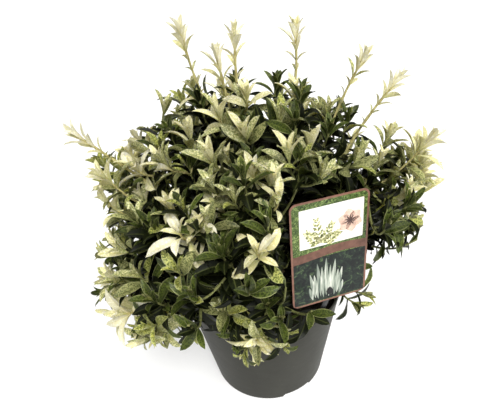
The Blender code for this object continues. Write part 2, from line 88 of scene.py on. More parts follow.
def pick(test):  # selects the faces of the piece in edit mode whose middle and normal pass the test
    bm = bmesh.from_edit_mesh(bpy.context.object.data)
    for face in bm.faces:
        face.select_set(test(face.calc_center_median(), face.normal))
    bmesh.update_edit_mesh(bpy.context.object.data)


def extrude(*move):
    bpy.ops.mesh.extrude_region_move(TRANSFORM_OT_translate={"value": move})


def leaveEdit():
    bpy.ops.object.mode_set(mode="OBJECT")


def closeUp(weld=0.0):  # welds what lies together, turns the faces outward and leaves edit mode
    pickAll()
    if weld:
        bpy.ops.mesh.remove_doubles(threshold=weld)
    bpy.ops.mesh.normals_make_consistent(inside=False)
    leaveEdit()


def applyAll(piece):
    pickOnly(piece)
    for modifier in list(piece.modifiers):
        bpy.ops.object.modifier_apply(modifier=modifier.name)


def joined(pieces):
    pickOnly(*pieces)
    if len(pieces) > 1:
        bpy.ops.object.join()
    return bpy.context.object


def finishPiece(piece, name, nodes, materials, smooth=0):  # smooth: up to this angle, degrees
    if smooth:
        pickOnly(piece)
        bpy.ops.object.shade_smooth_by_angle(angle=math.radians(smooth))
    piece.name = name
    piece.data.name = name
    used = np.zeros(len(piece.data.polygons), dtype=np.int32)
    piece.data.polygons.foreach_get("material_index", used)
    piece.data.materials.clear()
    for material in materials:
        piece.data.materials.append(material)
    piece.data.polygons.foreach_set("material_index", used)
    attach(piece, "root")
    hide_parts(*nodes)
    piece.select_set(False)


# materials
def tint(*screen):  # screen values 0-255 to the shader's linear ones
    shares = [value / 255 for value in screen]
    return (*(s / 12.92 if s <= 0.04045 else ((s + 0.055) / 1.055) ** 2.4 for s in shares), 1.0)


def level(value):
    return (value, value, value, 1.0)


white, black = level(1.0), level(0.0)


class surface:  # a material and the nodes that paint it
    def __init__(self, name, roughness, specular=0.5, coat=0.0):
        self.material = bpy.data.materials.new(name)
        self.material.use_nodes = True
        self.nodes = self.material.node_tree.nodes
        self.link = self.material.node_tree.links.new
        self.shader = self.nodes["Principled BSDF"]
        self.put(self.shader, Roughness=roughness, Specular_IOR_Level=specular, Coat_Weight=coat)
        self.place = self.nodes.new("ShaderNodeTexCoord").outputs["Object"]

    def put(self, node, **values):  # a value or a link into each named socket
        for name, value in values.items():
            socket = node.inputs[name.replace("_", " ")]
            if isinstance(value, (int, float, tuple)):
                socket.default_value = value
            else:
                self.link(value, socket)

    def noise(self, scale, detail=3.0, rough=0.55, stretch=None, distortion=0.0):
        place = self.place
        if stretch:
            mapping = self.nodes.new("ShaderNodeMapping")
            self.put(mapping, Scale=stretch, Vector=place)
            place = mapping.outputs["Vector"]
        node = self.nodes.new("ShaderNodeTexNoise")
        self.put(node, Scale=scale, Detail=detail, Roughness=rough, Distortion=distortion, Vector=place)
        return node.outputs["Fac"]

    def ramp(self, factor, *stops):
        node = self.nodes.new("ShaderNodeValToRGB")
        elements = node.color_ramp.elements
        while len(elements) < len(stops):
            elements.new(0.5)
        for element, (position, colour) in zip(elements, stops):
            element.position = position
            element.color = colour
        self.put(node, Fac=factor)
        return node.outputs["Color"]

    def mix(self, factor, first, second, blend="MIX"):
        node = self.nodes.new("ShaderNodeMix")
        node.data_type = "RGBA"
        node.blend_type = blend
        sockets = [s for s in node.inputs if s.name in ("Factor", "A", "B") and s.enabled]
        for socket, value in zip(sockets, (factor, first, second)):
            if isinstance(value, (float, tuple)):
                socket.default_value = value
            else:
                self.link(value, socket)
        return next(s for s in node.outputs if s.enabled)

    def paint(self, colour):
        self.link(colour, self.shader.inputs["Base Color"])

    def bump(self, height, strength, distance):
        node = self.nodes.new("ShaderNodeBump")
        self.put(node, Strength=strength, Distance=distance, Height=height)
        self.link(node.outputs["Normal"], self.shader.inputs["Normal"])


def grainy(look, grain, stops, bump, strength, distance):  # a grain colours it; without bump it's the relief
    tone = look.noise(*grain)
    look.paint(look.ramp(tone, *stops))
    look.bump(look.noise(*bump) if bump else tone, strength, distance)
    return look.material


# the leaves' colours: ground, freckles, how much of it the freckles cover, roughness
leafLooks = {
    "leafButter": (tint(250, 242, 200), tint(228, 218, 156), 0.34, 0.52),
    "leafIvory": (tint(255, 252, 236), tint(234, 228, 192), 0.30, 0.52),
    "leafCream": (tint(254, 246, 212), tint(214, 208, 156), 0.32, 0.52),
    "leafFreckled": (tint(216, 212, 160), tint(130, 136, 84), 0.46, 0.48),
    "leafMottled": (tint(152, 152, 100), tint(74, 82, 44), 0.54, 0.45),
    "leafOlive": (tint(178, 180, 100), tint(84, 94, 38), 0.48, 0.42),
    "leafGreen": (tint(80, 91, 36), tint(40, 50, 20), 0.50, 0.42),
    # leafDark: partly the own dark green of old inner leaves, partly painted shade, its near-black darkening
    # the crown's inside
    "leafDark": (tint(26, 31, 12), tint(12, 16, 6), 0.50, 0.42),
}
leafNames = list(leafLooks)
lastSlot = len(leafNames) - 1
leafMarks = {  # colours of midrib, foot and margin, how strongly they show, and the spread from leaf to leaf
    "ribColour": tint(124, 132, 74),
    # foot colours: partly the leaves' own greener base, partly painted shade between leaves crowding at a
    # tuft's foot
    "footGreenAndShadeColour": tint(146, 150, 88),
    "ivoryFootGreenAndShadeColour": tint(206, 194, 134),
    "marginColour": tint(188, 190, 132),
    "pale": {"foot": 0.66, "rib": 0.34, "darkest": 0.76, "lightest": 1.16},
    "green": {"foot": 0.60, "rib": 0.20, "darkest": 0.56, "lightest": 1.26},
    "margin": 0.42,
    "freckleScale": 620,
    "freckleEdge": 0.035,
    "paleFrom": 0.35,  # a ground with more red than this is a pale leaf
}


def leafMaterial(name):
    ground, freckle, cover, roughness = leafLooks[name]
    look = surface(name, roughness, 0.10 if name == "leafDark" else 0.17)
    marks = look.nodes.new("ShaderNodeAttribute")  # across the blade, along it, chance
    marks.attribute_name = "leafPlace"
    split = look.nodes.new("ShaderNodeSeparateXYZ")
    look.put(split, Vector=marks.outputs["Vector"])
    across, alongLeaf, chance = (split.outputs[axis] for axis in "XYZ")
    pale = ground[0] > leafMarks["paleFrom"]
    strength = leafMarks["pale" if pale else "green"]
    paleFoot = leafMarks["ivoryFootGreenAndShadeColour" if name == "leafIvory" else "footGreenAndShadeColour"]
    middle = 0.5 + (0.5 - cover) * 0.34
    edge = leafMarks["freckleEdge"]
    fine = look.noise(leafMarks["freckleScale"], 4.0, 0.72)
    colour = look.mix(look.ramp(fine, (middle - edge, white), (middle + edge, black)), ground, freckle)
    # each leaf darkens towards its foot: partly its own greener base, partly painted shade where the leaves
    # of a tuft crowd together
    foot = look.ramp(alongLeaf, (0.10, level(strength["foot"])), (0.52, black))
    colour = look.mix(foot, colour, paleFoot if pale else freckle)
    rib = look.ramp(across, (0.04, level(strength["rib"])), (0.18, black))
    colour = look.mix(rib, colour, paleFoot if pale else leafMarks["ribColour"])
    if name in ("leafMottled", "leafOlive", "leafGreen"):
        margin = look.ramp(across, (0.80, black), (0.95, level(leafMarks["margin"])))
        colour = look.mix(margin, colour, leafMarks["marginColour"])
    tone = look.ramp(chance, (0.0, level(strength["darkest"])), (1.0, level(strength["lightest"])))
    colour = look.mix(1.0, colour, tone, "MULTIPLY")
    shade = look.ramp(look.noise(55, 2.0), (0.32, (0.80, 0.80, 0.78, 1.0)), (0.66, (1.06, 1.06, 1.04, 1.0)))
    look.paint(look.mix(1.0, colour, shade, "MULTIPLY"))
    look.bump(look.noise(430, 2.0, 0.5), 0.35, 0.0006)
    look.put(look.shader, Subsurface_Weight=0.30 if pale else 0.0, Subsurface_Scale=0.0016)
    look.put(look.shader, Subsurface_Radius=(1.0, 0.85, 0.35))
    return look.material


def barkMaterial(name, young, old, scale, strength):
    grain = (scale, 5.0, 0.62, (1.0, 1.0, 0.28))
    return grainy(surface(name, 0.78, 0.3), grain, ((0.34, old), (0.62, young)), None, strength, 0.0012)


leafMaterials = [leafMaterial(name) for name in leafNames]
barkOld = barkMaterial("barkOld", tint(128, 112, 84), tint(66, 54, 40), 260, 0.8)
barkYoung = barkMaterial("barkYoung", tint(120, 124, 72), tint(78, 78, 44), 330, 0.4)
barkTan = barkMaterial("barkTan", tint(190, 182, 122), tint(122, 112, 64), 520, 0.5)

# camera, above the bush and aimed down at it
camera = {
    "place": (-0.00717153, -0.46410563, 0.5225357),
    "right": (0.99599615, -0.04520203, -0.07712616),
    "up": (0.08939613, 0.50361295, 0.85929176),
    "ahead": (0.0, 0.86274607, -0.50563744),
    "lens": 34.56,
    "sensor": 36.0,
    "image": (500, 400),  # width and height in pixels
}
lens = bpy.data.cameras.new("studioCamera")
lens.lens, lens.sensor_width = camera["lens"], camera["sensor"]
lens.clip_start, lens.clip_end = 0.01, 50
viewer = bpy.data.objects.new("studioCamera", lens)
bpy.context.scene.collection.objects.link(viewer)
axes = Matrix((camera["right"], camera["up"], -Vector(camera["ahead"]))).transposed()
viewer.matrix_world = Matrix.Translation(camera["place"]) @ axes.to_4x4()
bpy.context.scene.camera = viewer

# studio: a pale floor and soft lamps
studio = {
    "floorRadius": 12.0,
    "floorHeight": -0.0002,
    "floorColour": (0.54, 0.54, 0.535, 1.0),
    "floorGlow": 0.46,
    "lamps": (  # where the light comes from, how soft it is in degrees, strength, colour
        ((0.18, -1.05, 1.28), 28, 4.1, (1.0, 0.992, 0.97)),
        ((1.2, -0.6, 0.7), 50, 1.2, (0.99, 0.99, 1.0)),
        ((0.1, 1.2, 1.2), 50, 1.05, (1.0, 1.0, 1.0)),
    ),
    "sky": 0.15,
}


def stageGlow(thing, name, look, glow):
    look.put(look.shader, Emission_Color=white, Emission_Strength=glow)
    thing.name = name
    thing.data.materials.append(look.material)
    thing.select_set(False)


def makeStudio():
    circle, sphere = bpy.ops.mesh.primitive_circle_add, bpy.ops.mesh.primitive_uv_sphere_add
    radius, full = studio["floorRadius"], studio["floorColour"]
    place = (0, 0, studio["floorHeight"])
    floor = added(circle, vertices=96, radius=radius, fill_type="NGON", location=place)
    look = surface("paleFloor", 0.9, 0.1)
    low = tuple(c * 0.985 for c in full[:3]) + (1.0,)
    look.paint(look.ramp(look.noise(2.0, 2.0), (0.3, low), (0.7, full)))
    stageGlow(floor, "studioFloor", look, studio["floorGlow"])

    dome = added(sphere, segments=96, ring_count=48, radius=radius * 1.002)  # only the camera sees it
    startEdit("FACE")
    pick(lambda middle, normal: middle.z < -0.5)
    bpy.ops.mesh.delete(type="FACE")
    pickAll()
    bpy.ops.mesh.flip_normals()
    leaveEdit()
    look = surface("whiteBackdrop", 1.0, 0.0)
    look.put(look.shader, Base_Color=black)
    dome.visible_diffuse = dome.visible_glossy = dome.visible_transmission = dome.visible_shadow = False
    stageGlow(dome, "studioBackdrop", look, 1.0)

    for index, (place, softness, power, colour) in enumerate(studio["lamps"]):
        lamp = bpy.data.lights.new("softLamp%d" % index, "SUN")
        lamp.angle, lamp.energy, lamp.color = math.radians(softness), power, colour
        holder = bpy.data.objects.new(lamp.name, lamp)
        holder.location = place
        holder.rotation_euler = (-Vector(place)).to_track_quat("-Z", "Y").to_euler()
        bpy.context.scene.collection.objects.link(holder)
    world = bpy.data.worlds.new("softSky")
    world.use_nodes = True
    world.node_tree.nodes["Background"].inputs["Color"].default_value = (1, 1, 1, 1)
    world.node_tree.nodes["Background"].inputs["Strength"].default_value = studio["sky"]
    bpy.context.scene.world = world
    bpy.context.scene.view_settings.view_transform = "Standard"


makeStudio()
print("studio ready")

# the pot, as rings of radius and height from the middle of its underside
pot = {
    "height": 0.133,
    "rimRadius": 0.095,
    "baseRadius": 0.0705,
    "wall": 0.0018,
    "sides": 144,
    "foot": (
        (0.012, 0.0050), (0.030, 0.0050), (0.0525, 0.0050), (0.0532, 0.0045), (0.0545, 0.0),
        (0.0640, 0.0), (0.0676, 0.0), (0.0694, 0.0004), (0.0704, 0.0014),
    ),
    "outerHeights": (0.003, 0.0064, 0.0070, 0.012, 0.025, 0.045, 0.065, 0.085, 0.105, 0.120, 0.1290),
    "rim": (
        (0.09475, 0.1294), (0.0950, 0.1299), (0.0950, 0.1318), (0.0947, 0.1326), (0.0941, 0.133),
        (0.0934, 0.133), (0.0928, 0.1326), (0.0925, 0.1318), (0.0925, 0.1304), (0.09268, 0.1298),
    ),
    "innerHeights": (0.126, 0.119, 0.100, 0.060, 0.020, 0.0080),
    "floor": ((0.060, 0.0074), (0.012, 0.0074)),
    "notches": (-64, 116),  # azimuths of the drain notches in the base edge
    "notchHalfAngle": 14.5,
    "notchHeight": 0.0062,
    "notchInnerRadius": 0.0535,
    "unevenness": 0.00022,
}


def potRadius(height):
    return pot["baseRadius"] + (pot["rimRadius"] - pot["baseRadius"]) * height / pot["height"]


def lathe(profile, steps):  # a round piece drawn from the middle of its underside, ring by ring
    radius, height = profile[0]
    circle = bpy.ops.mesh.primitive_circle_add
    piece = added(circle, vertices=steps, radius=radius, fill_type="TRIFAN", location=(0, 0, height))
    startEdit("EDGE")
    bm = bmesh.from_edit_mesh(piece.data)
    for edge in bm.edges:
        edge.select_set(len(edge.link_faces) == 1)
    bmesh.update_edit_mesh(piece.data)
    for (r0, z0), (r1, z1) in zip(profile, profile[1:]):
        extrude(0, 0, z1 - z0)
        bpy.ops.transform.resize(value=(r1 / r0, r1 / r0, 1), center_override=(0, 0, 0))
    bpy.ops.mesh.merge(type="CENTER")
    closeUp(0.000005)
    return piece


def makePot():
    outside = [(potRadius(z), z) for z in pot["outerHeights"]]
    inside = [(potRadius(z) - pot["wall"], z) for z in pot["innerHeights"]]
    shell = lathe([*pot["foot"], *outside, *pot["rim"], *inside, *pot["floor"]], pot["sides"])
    for vertex in shell.data.vertices:  # drain notches, and the slight unevenness of thin moulded plastic
        radius, height = vertex.co.xy.length, vertex.co.z
        turn = math.atan2(vertex.co.y, vertex.co.x)
        outer = radius > potRadius(height) - 0.0016 or height < 0.0012
        for notch in pot["notches"]:
            off = abs((math.degrees(turn) - notch + 180) % 360 - 180)
            if outer and off < pot["notchHalfAngle"] and radius > pot["notchInnerRadius"]:
                vertex.co.z = max(vertex.co.z, pot["notchHeight"])
        if radius > 0.02 and vertex.co.z > 0.006:
            share = min(1, vertex.co.z / pot["height"])
            wave = pot["unevenness"] * math.sin(math.radians(math.degrees(turn)) * 2 + 0.6) * share
            vertex.co.x *= 1 + wave / radius
            vertex.co.y *= 1 + wave / radius
    look = surface("greyPlastic", 0.68, 0.08)
    cloud = look.noise(26, 4.0, 0.6, (1.0, 1.0, 0.45))
    base = look.ramp(cloud, (0.30, tint(54, 54, 49)), (0.70, tint(60, 60, 55)))
    dust = look.ramp(look.noise(240, 5.0, 0.7), (0.66, black), (0.72, white))
    worn = look.mix(dust, base, tint(84, 82, 76))
    dirt = look.ramp(look.noise(75, 3.0, 0.5), (0.71, black), (0.745, white))
    look.paint(look.mix(dirt, worn, tint(34, 32, 29)))
    gloss = look.nodes.new("ShaderNodeMapRange")
    look.put(gloss, To_Min=0.38, To_Max=0.56, Value=look.noise(55, 4.0, 0.6, (1.0, 1.0, 3.2)))
    look.put(look.shader, Roughness=gloss.outputs["Result"])
    look.bump(look.noise(900, 2.0), 0.10, 0.0003)
    finishPiece(shell, "potShell", ["pot"], [look.material], 38)


makePot()
print("pot made")


# joined meshes from arrays
def newHeap():
    return {"points": [], "corners": [], "sizes": [], "materials": [], "marks": [], "count": 0}


def addToHeap(heap, points, corners, sizes, material, marks=None):
    heap["points"].append(points)
    heap["corners"].append(corners + heap["count"])
    heap["sizes"].append(sizes)
    heap["materials"].append(np.full(len(sizes), material))
    heap["count"] += len(points)
    if marks is not None:
        heap["marks"].append(marks)


def heapObject(heap):
    def whole(key, kind):
        return np.concatenate(heap[key]).astype(kind)

    points, corners, sizes = whole("points", np.float32), whole("corners", np.int32), whole("sizes", np.int32)
    used = whole("materials", np.int32)
    mesh = bpy.data.meshes.new("heap")
    mesh.vertices.add(len(points))
    mesh.vertices.foreach_set("co", points.ravel())
    mesh.loops.add(len(corners))
    mesh.loops.foreach_set("vertex_index", corners)
    mesh.polygons.add(len(sizes))
    mesh.polygons.foreach_set("loop_start", (np.cumsum(sizes) - sizes).astype(np.int32))
    mesh.polygons.foreach_set("loop_total", sizes)
    mesh.update(calc_edges=True)
    piece = bpy.data.objects.new("heap", mesh)
    bpy.context.scene.collection.objects.link(piece)
    for _ in range(used.max() + 1):
        mesh.materials.append(None)
    mesh.polygons.foreach_set("material_index", used)
    if heap["marks"]:
        places = mesh.attributes.new("leafPlace", "FLOAT_VECTOR", "POINT")
        places.data.foreach_set("vector", whole("marks", np.float32).ravel())
    mesh.validate()
    return piece


# the soil
soil = {
    "top": 0.119,
    "bottom": 0.100,
    "edgeRadius": 0.0895,
    "edgeDrop": 0.0022,
    "relief": 0.0022,
    "chips": 260,
    "seed": 5,
}


def makeSoil():
    top, bottom, edge = soil["top"], soil["bottom"], soil["edgeRadius"]
    below = [(0.010, bottom), (0.050, bottom), (potRadius(bottom) - 0.0024, bottom)]
    below.append((edge, top - soil["edgeDrop"]))
    bed = lathe(below + [(0.0028 * i, top) for i in range(31, 0, -1)], 96)
    for vertex in bed.data.vertices:
        if vertex.co.z > 0.110:
            inward = min(1.0, max(0.0, (edge + 0.001 - vertex.co.xy.length) / 0.004))
            rough = noise.noise(vertex.co * 160) + 0.6 * noise.noise(vertex.co * 420)
            vertex.co.z += soil["relief"] * 0.5 * (rough - 0.9) * inward
    stops = (0.32, tint(12, 10, 8)), (0.52, tint(30, 25, 19)), (0.74, tint(58, 48, 37))
    peat = grainy(surface("peatSoil", 0.95, 0.15), (340, 6.0, 0.72), stops, None, 1.0, 0.002)
    finishPiece(bed, "soilBed", ["soil"], [peat], 60)

    rng = random.Random(soil["seed"])
    chip = added(bpy.ops.mesh.primitive_ico_sphere_add, subdivisions=1, radius=1.0)
    shape = np.array([v.co[:] for v in chip.data.vertices])
    faces = np.array([p.vertices[:] for p in chip.data.polygons])
    bpy.data.objects.remove(chip, do_unlink=True)
    heap = newHeap()
    for _ in range(soil["chips"]):
        far = edge * math.sqrt(rng.random()) * 0.96
        turn = rng.uniform(0, math.tau)
        if far < 0.016:
            continue
        size = rng.uniform(0.0007, 0.0021)
        squash = np.array([size * rng.uniform(1, 2.2), size, size * rng.uniform(0.4, 0.7)])
        spin = Matrix.Rotation(rng.uniform(0, math.tau), 3, "Z")
        spin = spin @ Matrix.Rotation(rng.uniform(-0.5, 0.5), 3, "X")
        place = np.array([far * math.cos(turn), far * math.sin(turn), top - 0.0007])
        points = (shape * squash) @ np.array(spin).T + place
        addToHeap(heap, points, faces.ravel(), np.full(len(faces), 3), 0 if rng.random() > 0.12 else 1)
    stops = (0.35, tint(24, 19, 14)), (0.65, tint(66, 53, 39))
    wood = grainy(surface("woodChips", 0.9, 0.2), (90, 4.0), stops, (700, 3.0), 0.6, 0.0006)
    stops = (0.35, tint(96, 90, 78)), (0.65, tint(140, 134, 120))
    pale = grainy(surface("paleGrit", 0.85, 0.2), (300, 3.0), stops, None, 0.5, 0.0006)
    finishPiece(heapObject(heap), "soilChips", ["soil"], [wood, pale])


makeSoil()
print("soil made")

# how the bush grows, by the same rule as its solids
bush = {
    "centre": Vector((0.003, 0.002, 0.165)),
    "soilTop": 0.119,
    "stemTop": 0.160,
    "stemFootRadius": 0.0125,
    "stemTopRadius": 0.0075,
    "stemFlare": 0.22,
    "boughBase": 0.0027,
    "boughTip": 0.0021,
    "squareEnd": 0.003,
    "lowHeights": (0.1330, 0.1395),
    "lowRise": 25,
    "highHeight": 0.1505,
    "highRise": 45,
    "forkShare": 0.30,
    "spineShare": 0.62,
    "spineTip": 0.0014,
    "spread": math.radians(29),
    "reachPlay": (0.88, 1.04),
    "rootPlay": (0.85, 1.0),
    "stepIn": 0.88,  # how far a shoot that leaves its cone is drawn in, over and over
    "stepsIn": 12,
    "edgeAngle": math.radians(4.5),
    "tipLeafReach": 0.034,
    "bareReach": 0.255,
    "freeReach": 0.248,
    "seed": 11,
    "skirtMean": -1,
    "skirtSwing": 6,
    "skirtHighestAt": 20,
    "skirtHang": 7,
    "gap": 0.0003,
    "openBelow": 5,  # lower shoots than this end in rosettes
    "overlap": 0.010,  # how far a leaf may reach into the next mass
}
goldenAngle = math.pi * (3 - math.sqrt(5))
goldenShare = 0.618034
masses = {  # azimuth, elevation, reach from the crown's centre, main shoots
    "foliage_top": (90, 88, 0.236, 6),
    "foliage_high_front": (-90, 50, 0.222, 8),
    "foliage_high_right": (-18, 50, 0.210, 5),
    "foliage_high_back_right": (54, 50, 0.218, 6),
    "foliage_high_back_left": (126, 50, 0.222, 6),
    "foliage_high_left": (198, 50, 0.220, 5),
    "foliage_low_right": (2, 10, 0.200, 6),
    "foliage_low_back_right": (45, 8, 0.198, 6),
    "foliage_low_back": (90, 8, 0.190, 6),
    "foliage_low_back_left": (135, 8, 0.198, 6),
    "foliage_low_left": (180, 8, 0.208, 6),
    "foliage_low_front_left": (225, 6, 0.194, 6),
    "foliage_low_front": (270, 8, 0.170, 8),
    "foliage_low_front_right": (322, 6, 0.146, 6),
}
leaders = (  # long shoots: azimuth, elevation, reach
    (164, 76, 0.290), (216, 82, 0.268), (202, 87, 0.282), (27, 77, 0.282), (8, 63, 0.268),
    (0, 55, 0.264), (171, 62, 0.238), (191, 57, 0.215), (187, 47, 0.266), (170, 35, 0.240),
    (196, 43, 0.238), (202, 38, 0.226), (204, 12, 0.209), (206, 2, 0.208), (214, -6, 0.186),
    (22, 61, 0.212), (-1, 45, 0.226), (-13, 41, 0.252), (-10, 34, 0.232), (-4, 37, 0.238),
    (-6, 24, 0.226), (-84, -10, 0.134), (-103, -12, 0.138), (-30, -7, 0.146), (-42, -11, 0.124),
    (-134, -9, 0.142),
)
leaderHeadings = {  # the way the tips of the longest shoots point
    0: (-0.16, 0.0, 1.0), 1: (-0.12, 0.0, 1.0), 2: (0.06, 0.0, 1.0), 3: (-0.02, 0.0, 1.0),
    4: (0.46, 0.0, 0.88), 5: (0.60, 0.0, 0.78), 6: (0.30, -0.10, 1.0), 7: (0.12, -0.10, 1.0),
    8: (-0.70, 0.0, 0.70), 10: (-0.50, -0.05, 0.80), 11: (-0.55, -0.10, 0.75), 17: (0.58, -0.08, 0.80),
}
leaderRuns = {0: 1.35, 4: 1.4, 5: 1.45, 8: 1.6}  # how much further than the rest their straight tips go
leaderTones = (
    "ivory ivory ivory ivory ivory ivory mottled olive ivory olive cream cream freckled bright pale mottled "
    "freckled bright cream cream freckled olive pale broad broad olive"
).split()


def direction(azimuth, elevation):
    a, e = math.radians(azimuth), math.radians(elevation)
    return Vector((math.cos(a) * math.cos(e), math.sin(a) * math.cos(e), math.sin(e)))


def frameAlong(axis, hint=Vector((0.0, 0.0, 1.0))):
    z = axis.normalized()
    if abs(z.dot(hint)) > 0.98:
        hint = Vector((0.0, 1.0, 0.0))
    x = hint.cross(z).normalized()
    return Matrix((x, z.cross(x), z)).transposed()


def bezier(points, t):
    while len(points) > 1:
        points = [a.lerp(b, t) for a, b in zip(points, points[1:])]
    return points[0]


def stemAxis(height):
    share = (height - bush["soilTop"]) / (bush["stemTop"] - bush["soilTop"])
    start = Vector((-0.002, -0.001, 0.0))
    lean = Vector((bush["centre"].x, bush["centre"].y, 0.0)) - start
    point = start + lean * (share * share * (3 - 2 * share))
    point.z = height
    return point


def stemRadius(height):
    share = (height - bush["soilTop"]) / (bush["stemTop"] - bush["soilTop"])
    waist = bush["stemTopRadius"] + 0.0012 * (1 - share)
    flare = max(0.0, 1 - share / bush["stemFlare"]) ** 2
    return waist + (bush["stemFootRadius"] - waist) * flare


def massDirection(name):
    return direction(*masses[name][:2])


def boughPath(name):
    azimuth, elevation, reach, _ = masses[name]
    towards = massDirection(name)
    end = bush["centre"] + towards * (reach * bush["forkShare"])
    if name == "foliage_top":
        start = stemAxis(bush["stemTop"]) + Vector((0.0, 0.0, bush["gap"]))
        leaving = Vector((0.0, 0.0, 1.0))
    else:
        low = [n for n in masses if "_low_" in n]
        isLow = name in low
        height = bush["lowHeights"][low.index(name) % 2] if isLow else bush["highHeight"]
        leaving = direction(azimuth, bush["lowRise"] if isLow else bush["highRise"])
        clear = stemRadius(height) + bush["gap"] + bush["boughBase"] * leaving.z
        start = stemAxis(height) + direction(azimuth, 0) * clear
    near, far = start + leaving * bush["squareEnd"], end - towards * bush["squareEnd"]
    third = (far - near).length / 3
    handles = [near, near + leaving * third, far - towards * third, far]
    return [start, *(bezier(handles, i / 9) for i in range(10)), end]


axesOf = {name: np.array(massDirection(name)) for name in masses}
centre = np.array(bush["centre"])


def cellDepths(name, points):  # how far points lie inside the mass's own cone
    away = np.atleast_2d(points) - centre
    apart = [axesOf[name] - other for key, other in axesOf.items() if key != name]
    sides = np.array([between / np.linalg.norm(between) for between in apart])
    return (away @ sides.T).min(axis=1)


def cellAngle(name, towards):
    depth = cellDepths(name, centre + np.array(towards))[0]
    return math.asin(max(-1.0, min(1.0, depth)))


def elevationOf(away):
    return math.degrees(math.asin(max(-1.0, min(1.0, away.z / away.length))))


def skirtElevation(away):
    swing = math.atan2(away.y, away.x) - math.radians(bush["skirtHighestAt"])
    return bush["skirtMean"] + bush["skirtSwing"] * math.cos(swing)


def coneRay(off, spin):  # a direction this far off the z axis
    ring = Vector((math.cos(spin), math.sin(spin), 0.0)) * math.sin(off)
    return ring + Vector((0.0, 0.0, math.cos(off)))


def newShoot(tip, reach, root):
    plain = {"tone": None, "heading": None, "run": 1.0, "open": False, "bare": False, "free": False}
    return {"tip": tip, "reach": reach, "root": root, **plain}


def mainShoots(name, rng):  # tip, reach, root's share on the spine, tone, the way it points, and its kind
    _, _, reach, count = masses[name]
    axis = massDirection(name)
    turn = frameAlong(axis)
    phase = rng.uniform(0, math.tau)
    found = []
    for number, ((azimuth, elevation, length), tone) in enumerate(zip(leaders, leaderTones)):
        towards = direction(azimuth, elevation)
        if cellAngle(name, towards) > 0:
            tip = bush["centre"] + towards * (length - bush["tipLeafReach"])
            shoot = newShoot(tip, length, max(0.15, 1 - 0.6 * towards.angle(axis) / bush["spread"]))
            shoot["tone"] = tone
            shoot["heading"] = leaderHeadings.get(number)
            shoot["run"] = leaderRuns.get(number, 1.0)
            shoot["open"] = elevation < bush["openBelow"] and tone in rosetteTones
            shoot["bare"] = length > bush["bareReach"]
            shoot["free"] = length > bush["freeReach"]
            found.append(shoot)
    for k in range(count):
        off = bush["spread"] * math.sqrt((k + 0.35) / count)
        spin = phase + k * goldenAngle
        for _ in range(bush["stepsIn"]):
            towards = turn @ coneRay(off, spin)
            within = cellAngle(name, towards) > bush["edgeAngle"]
            if within and elevationOf(towards) > skirtElevation(towards):
                break
            off *= bush["stepIn"]
        length = reach * rng.uniform(*bush["reachPlay"]) - bush["tipLeafReach"]
        root = 1 - 0.8 * (off / bush["spread"]) * rng.uniform(*bush["rootPlay"])
        tip = bush["centre"] + towards * length
        found.append(newShoot(tip, length + bush["tipLeafReach"], max(0.1, root)))
    return found


# label and stake places, needed by the leaves too
label = {
    "width": 0.084,
    "height": 0.128,
    "thickness": 0.0008,
    "corner": 0.007,
    "centre": Vector((0.0682, -0.0766, 0.2276)),
    "turn": math.radians(15.2),
    "seenFrom": (-0.49, 0.83),
    "holeAboveEdge": 0.0125,
    "border": 0.0021,
    "layer": 0.00005,  # thickness of each printed layer
    "bloom": (0.0215, 0.0320),
    "shoots": ((38, -0.013, 0.017), (8, -0.011, 0.025), (-30, -0.009, 0.020), (-62, -0.005, 0.014)),
}
across = Vector((math.cos(label["turn"]), math.sin(label["turn"]), 0.0))
upward = Vector((0.0, 0.0, 1.0))
labelTurn = Matrix((across, upward, across.cross(upward))).transposed()
labelPlace = Matrix.Translation(label["centre"]) @ labelTurn.to_4x4()
labelBack = np.array(labelPlace.inverted())


# where the pot stays in view from the camera, and the crown's outline there: row of the image, left, right
potView = (
    (203, 331), (215, 337), (229, 344), (229, 354), (238, 361), (250, 371), (264, 366), (276, 357),
    (292, 354), (301, 347), (301, 340), (318, 327), (327, 331), (322, 345), (318, 385), (295, 402),
    (230, 402), (212, 372),
)
crownEdges = np.array((
    (70, 150, 345), (90, 154, 352), (110, 163, 358), (120, 164, 408), (128, 132, 452), (136, 98, 452),
    (150, 92, 450), (165, 82, 446), (190, 82, 449), (200, 98, 420), (215, 106, 426), (228, 106, 424),
    (238, 94, 416), (248, 84, 408), (262, 86, 404), (270, 100, 376), (280, 98, 370), (290, 84, 370),
    (312, 81, 384), (320, 96, 348), (332, 108, 334), (346, 116, 330), (350, 140, 329), (353, 222, 328),
    (363, 226, 322), (372, 238, 300), (400, 245, 245),
), dtype=float)


def imagePlace(points):  # where points fall in the image, in pixels
    wide, high = camera["image"]
    away = points - np.array(camera["place"])
    deep = away @ np.array(camera["ahead"])
    focal = camera["lens"] / camera["sensor"] * wide
    x = wide / 2 + focal * (away @ np.array(camera["right"])) / deep
    return x, high / 2 - focal * (away @ np.array(camera["up"])) / deep


def insideShape(x, y, corners):
    inside = np.zeros(len(x), dtype=bool)
    for (x0, y0), (x1, y1) in zip(corners, corners[1:] + corners[:1]):
        crosses = (y0 > y) != (y1 > y)
        inside ^= crosses & (x < (x1 - x0) * (y - y0) / ((y1 - y0) or 1e-9) + x0)
    return inside


def inView(points, slack=3.0):  # True if these points leave the pot in view and keep to the outline
    x, y = imagePlace(points)
    if np.any(insideShape(x, y, potView)):
        return False
    rows, leftEdge, rightEdge = crownEdges.T
    left, right = np.interp(y, rows, leftEdge), np.interp(y, rows, rightEdge)
    return not np.any((y > rows[0]) & ((x < left - slack) | (x > right + slack)))


clearance = {  # room kept free from leaves and twigs
    "pot": 0.0012,
    "potInside": 0.0042,
    "soil": 0.0015,
    "floor": 0.001,
    "labelSight": (0.0005, -0.001, 0.15),  # past its sides, past its ends, and how far before it
    "labelEdge": 0.001,
    "labelFace": 0.0024,
    "stakeSide": 0.0055,
    "stakeFrom": -0.045,
    "stakeBehind": (-0.032, -0.0002),
}


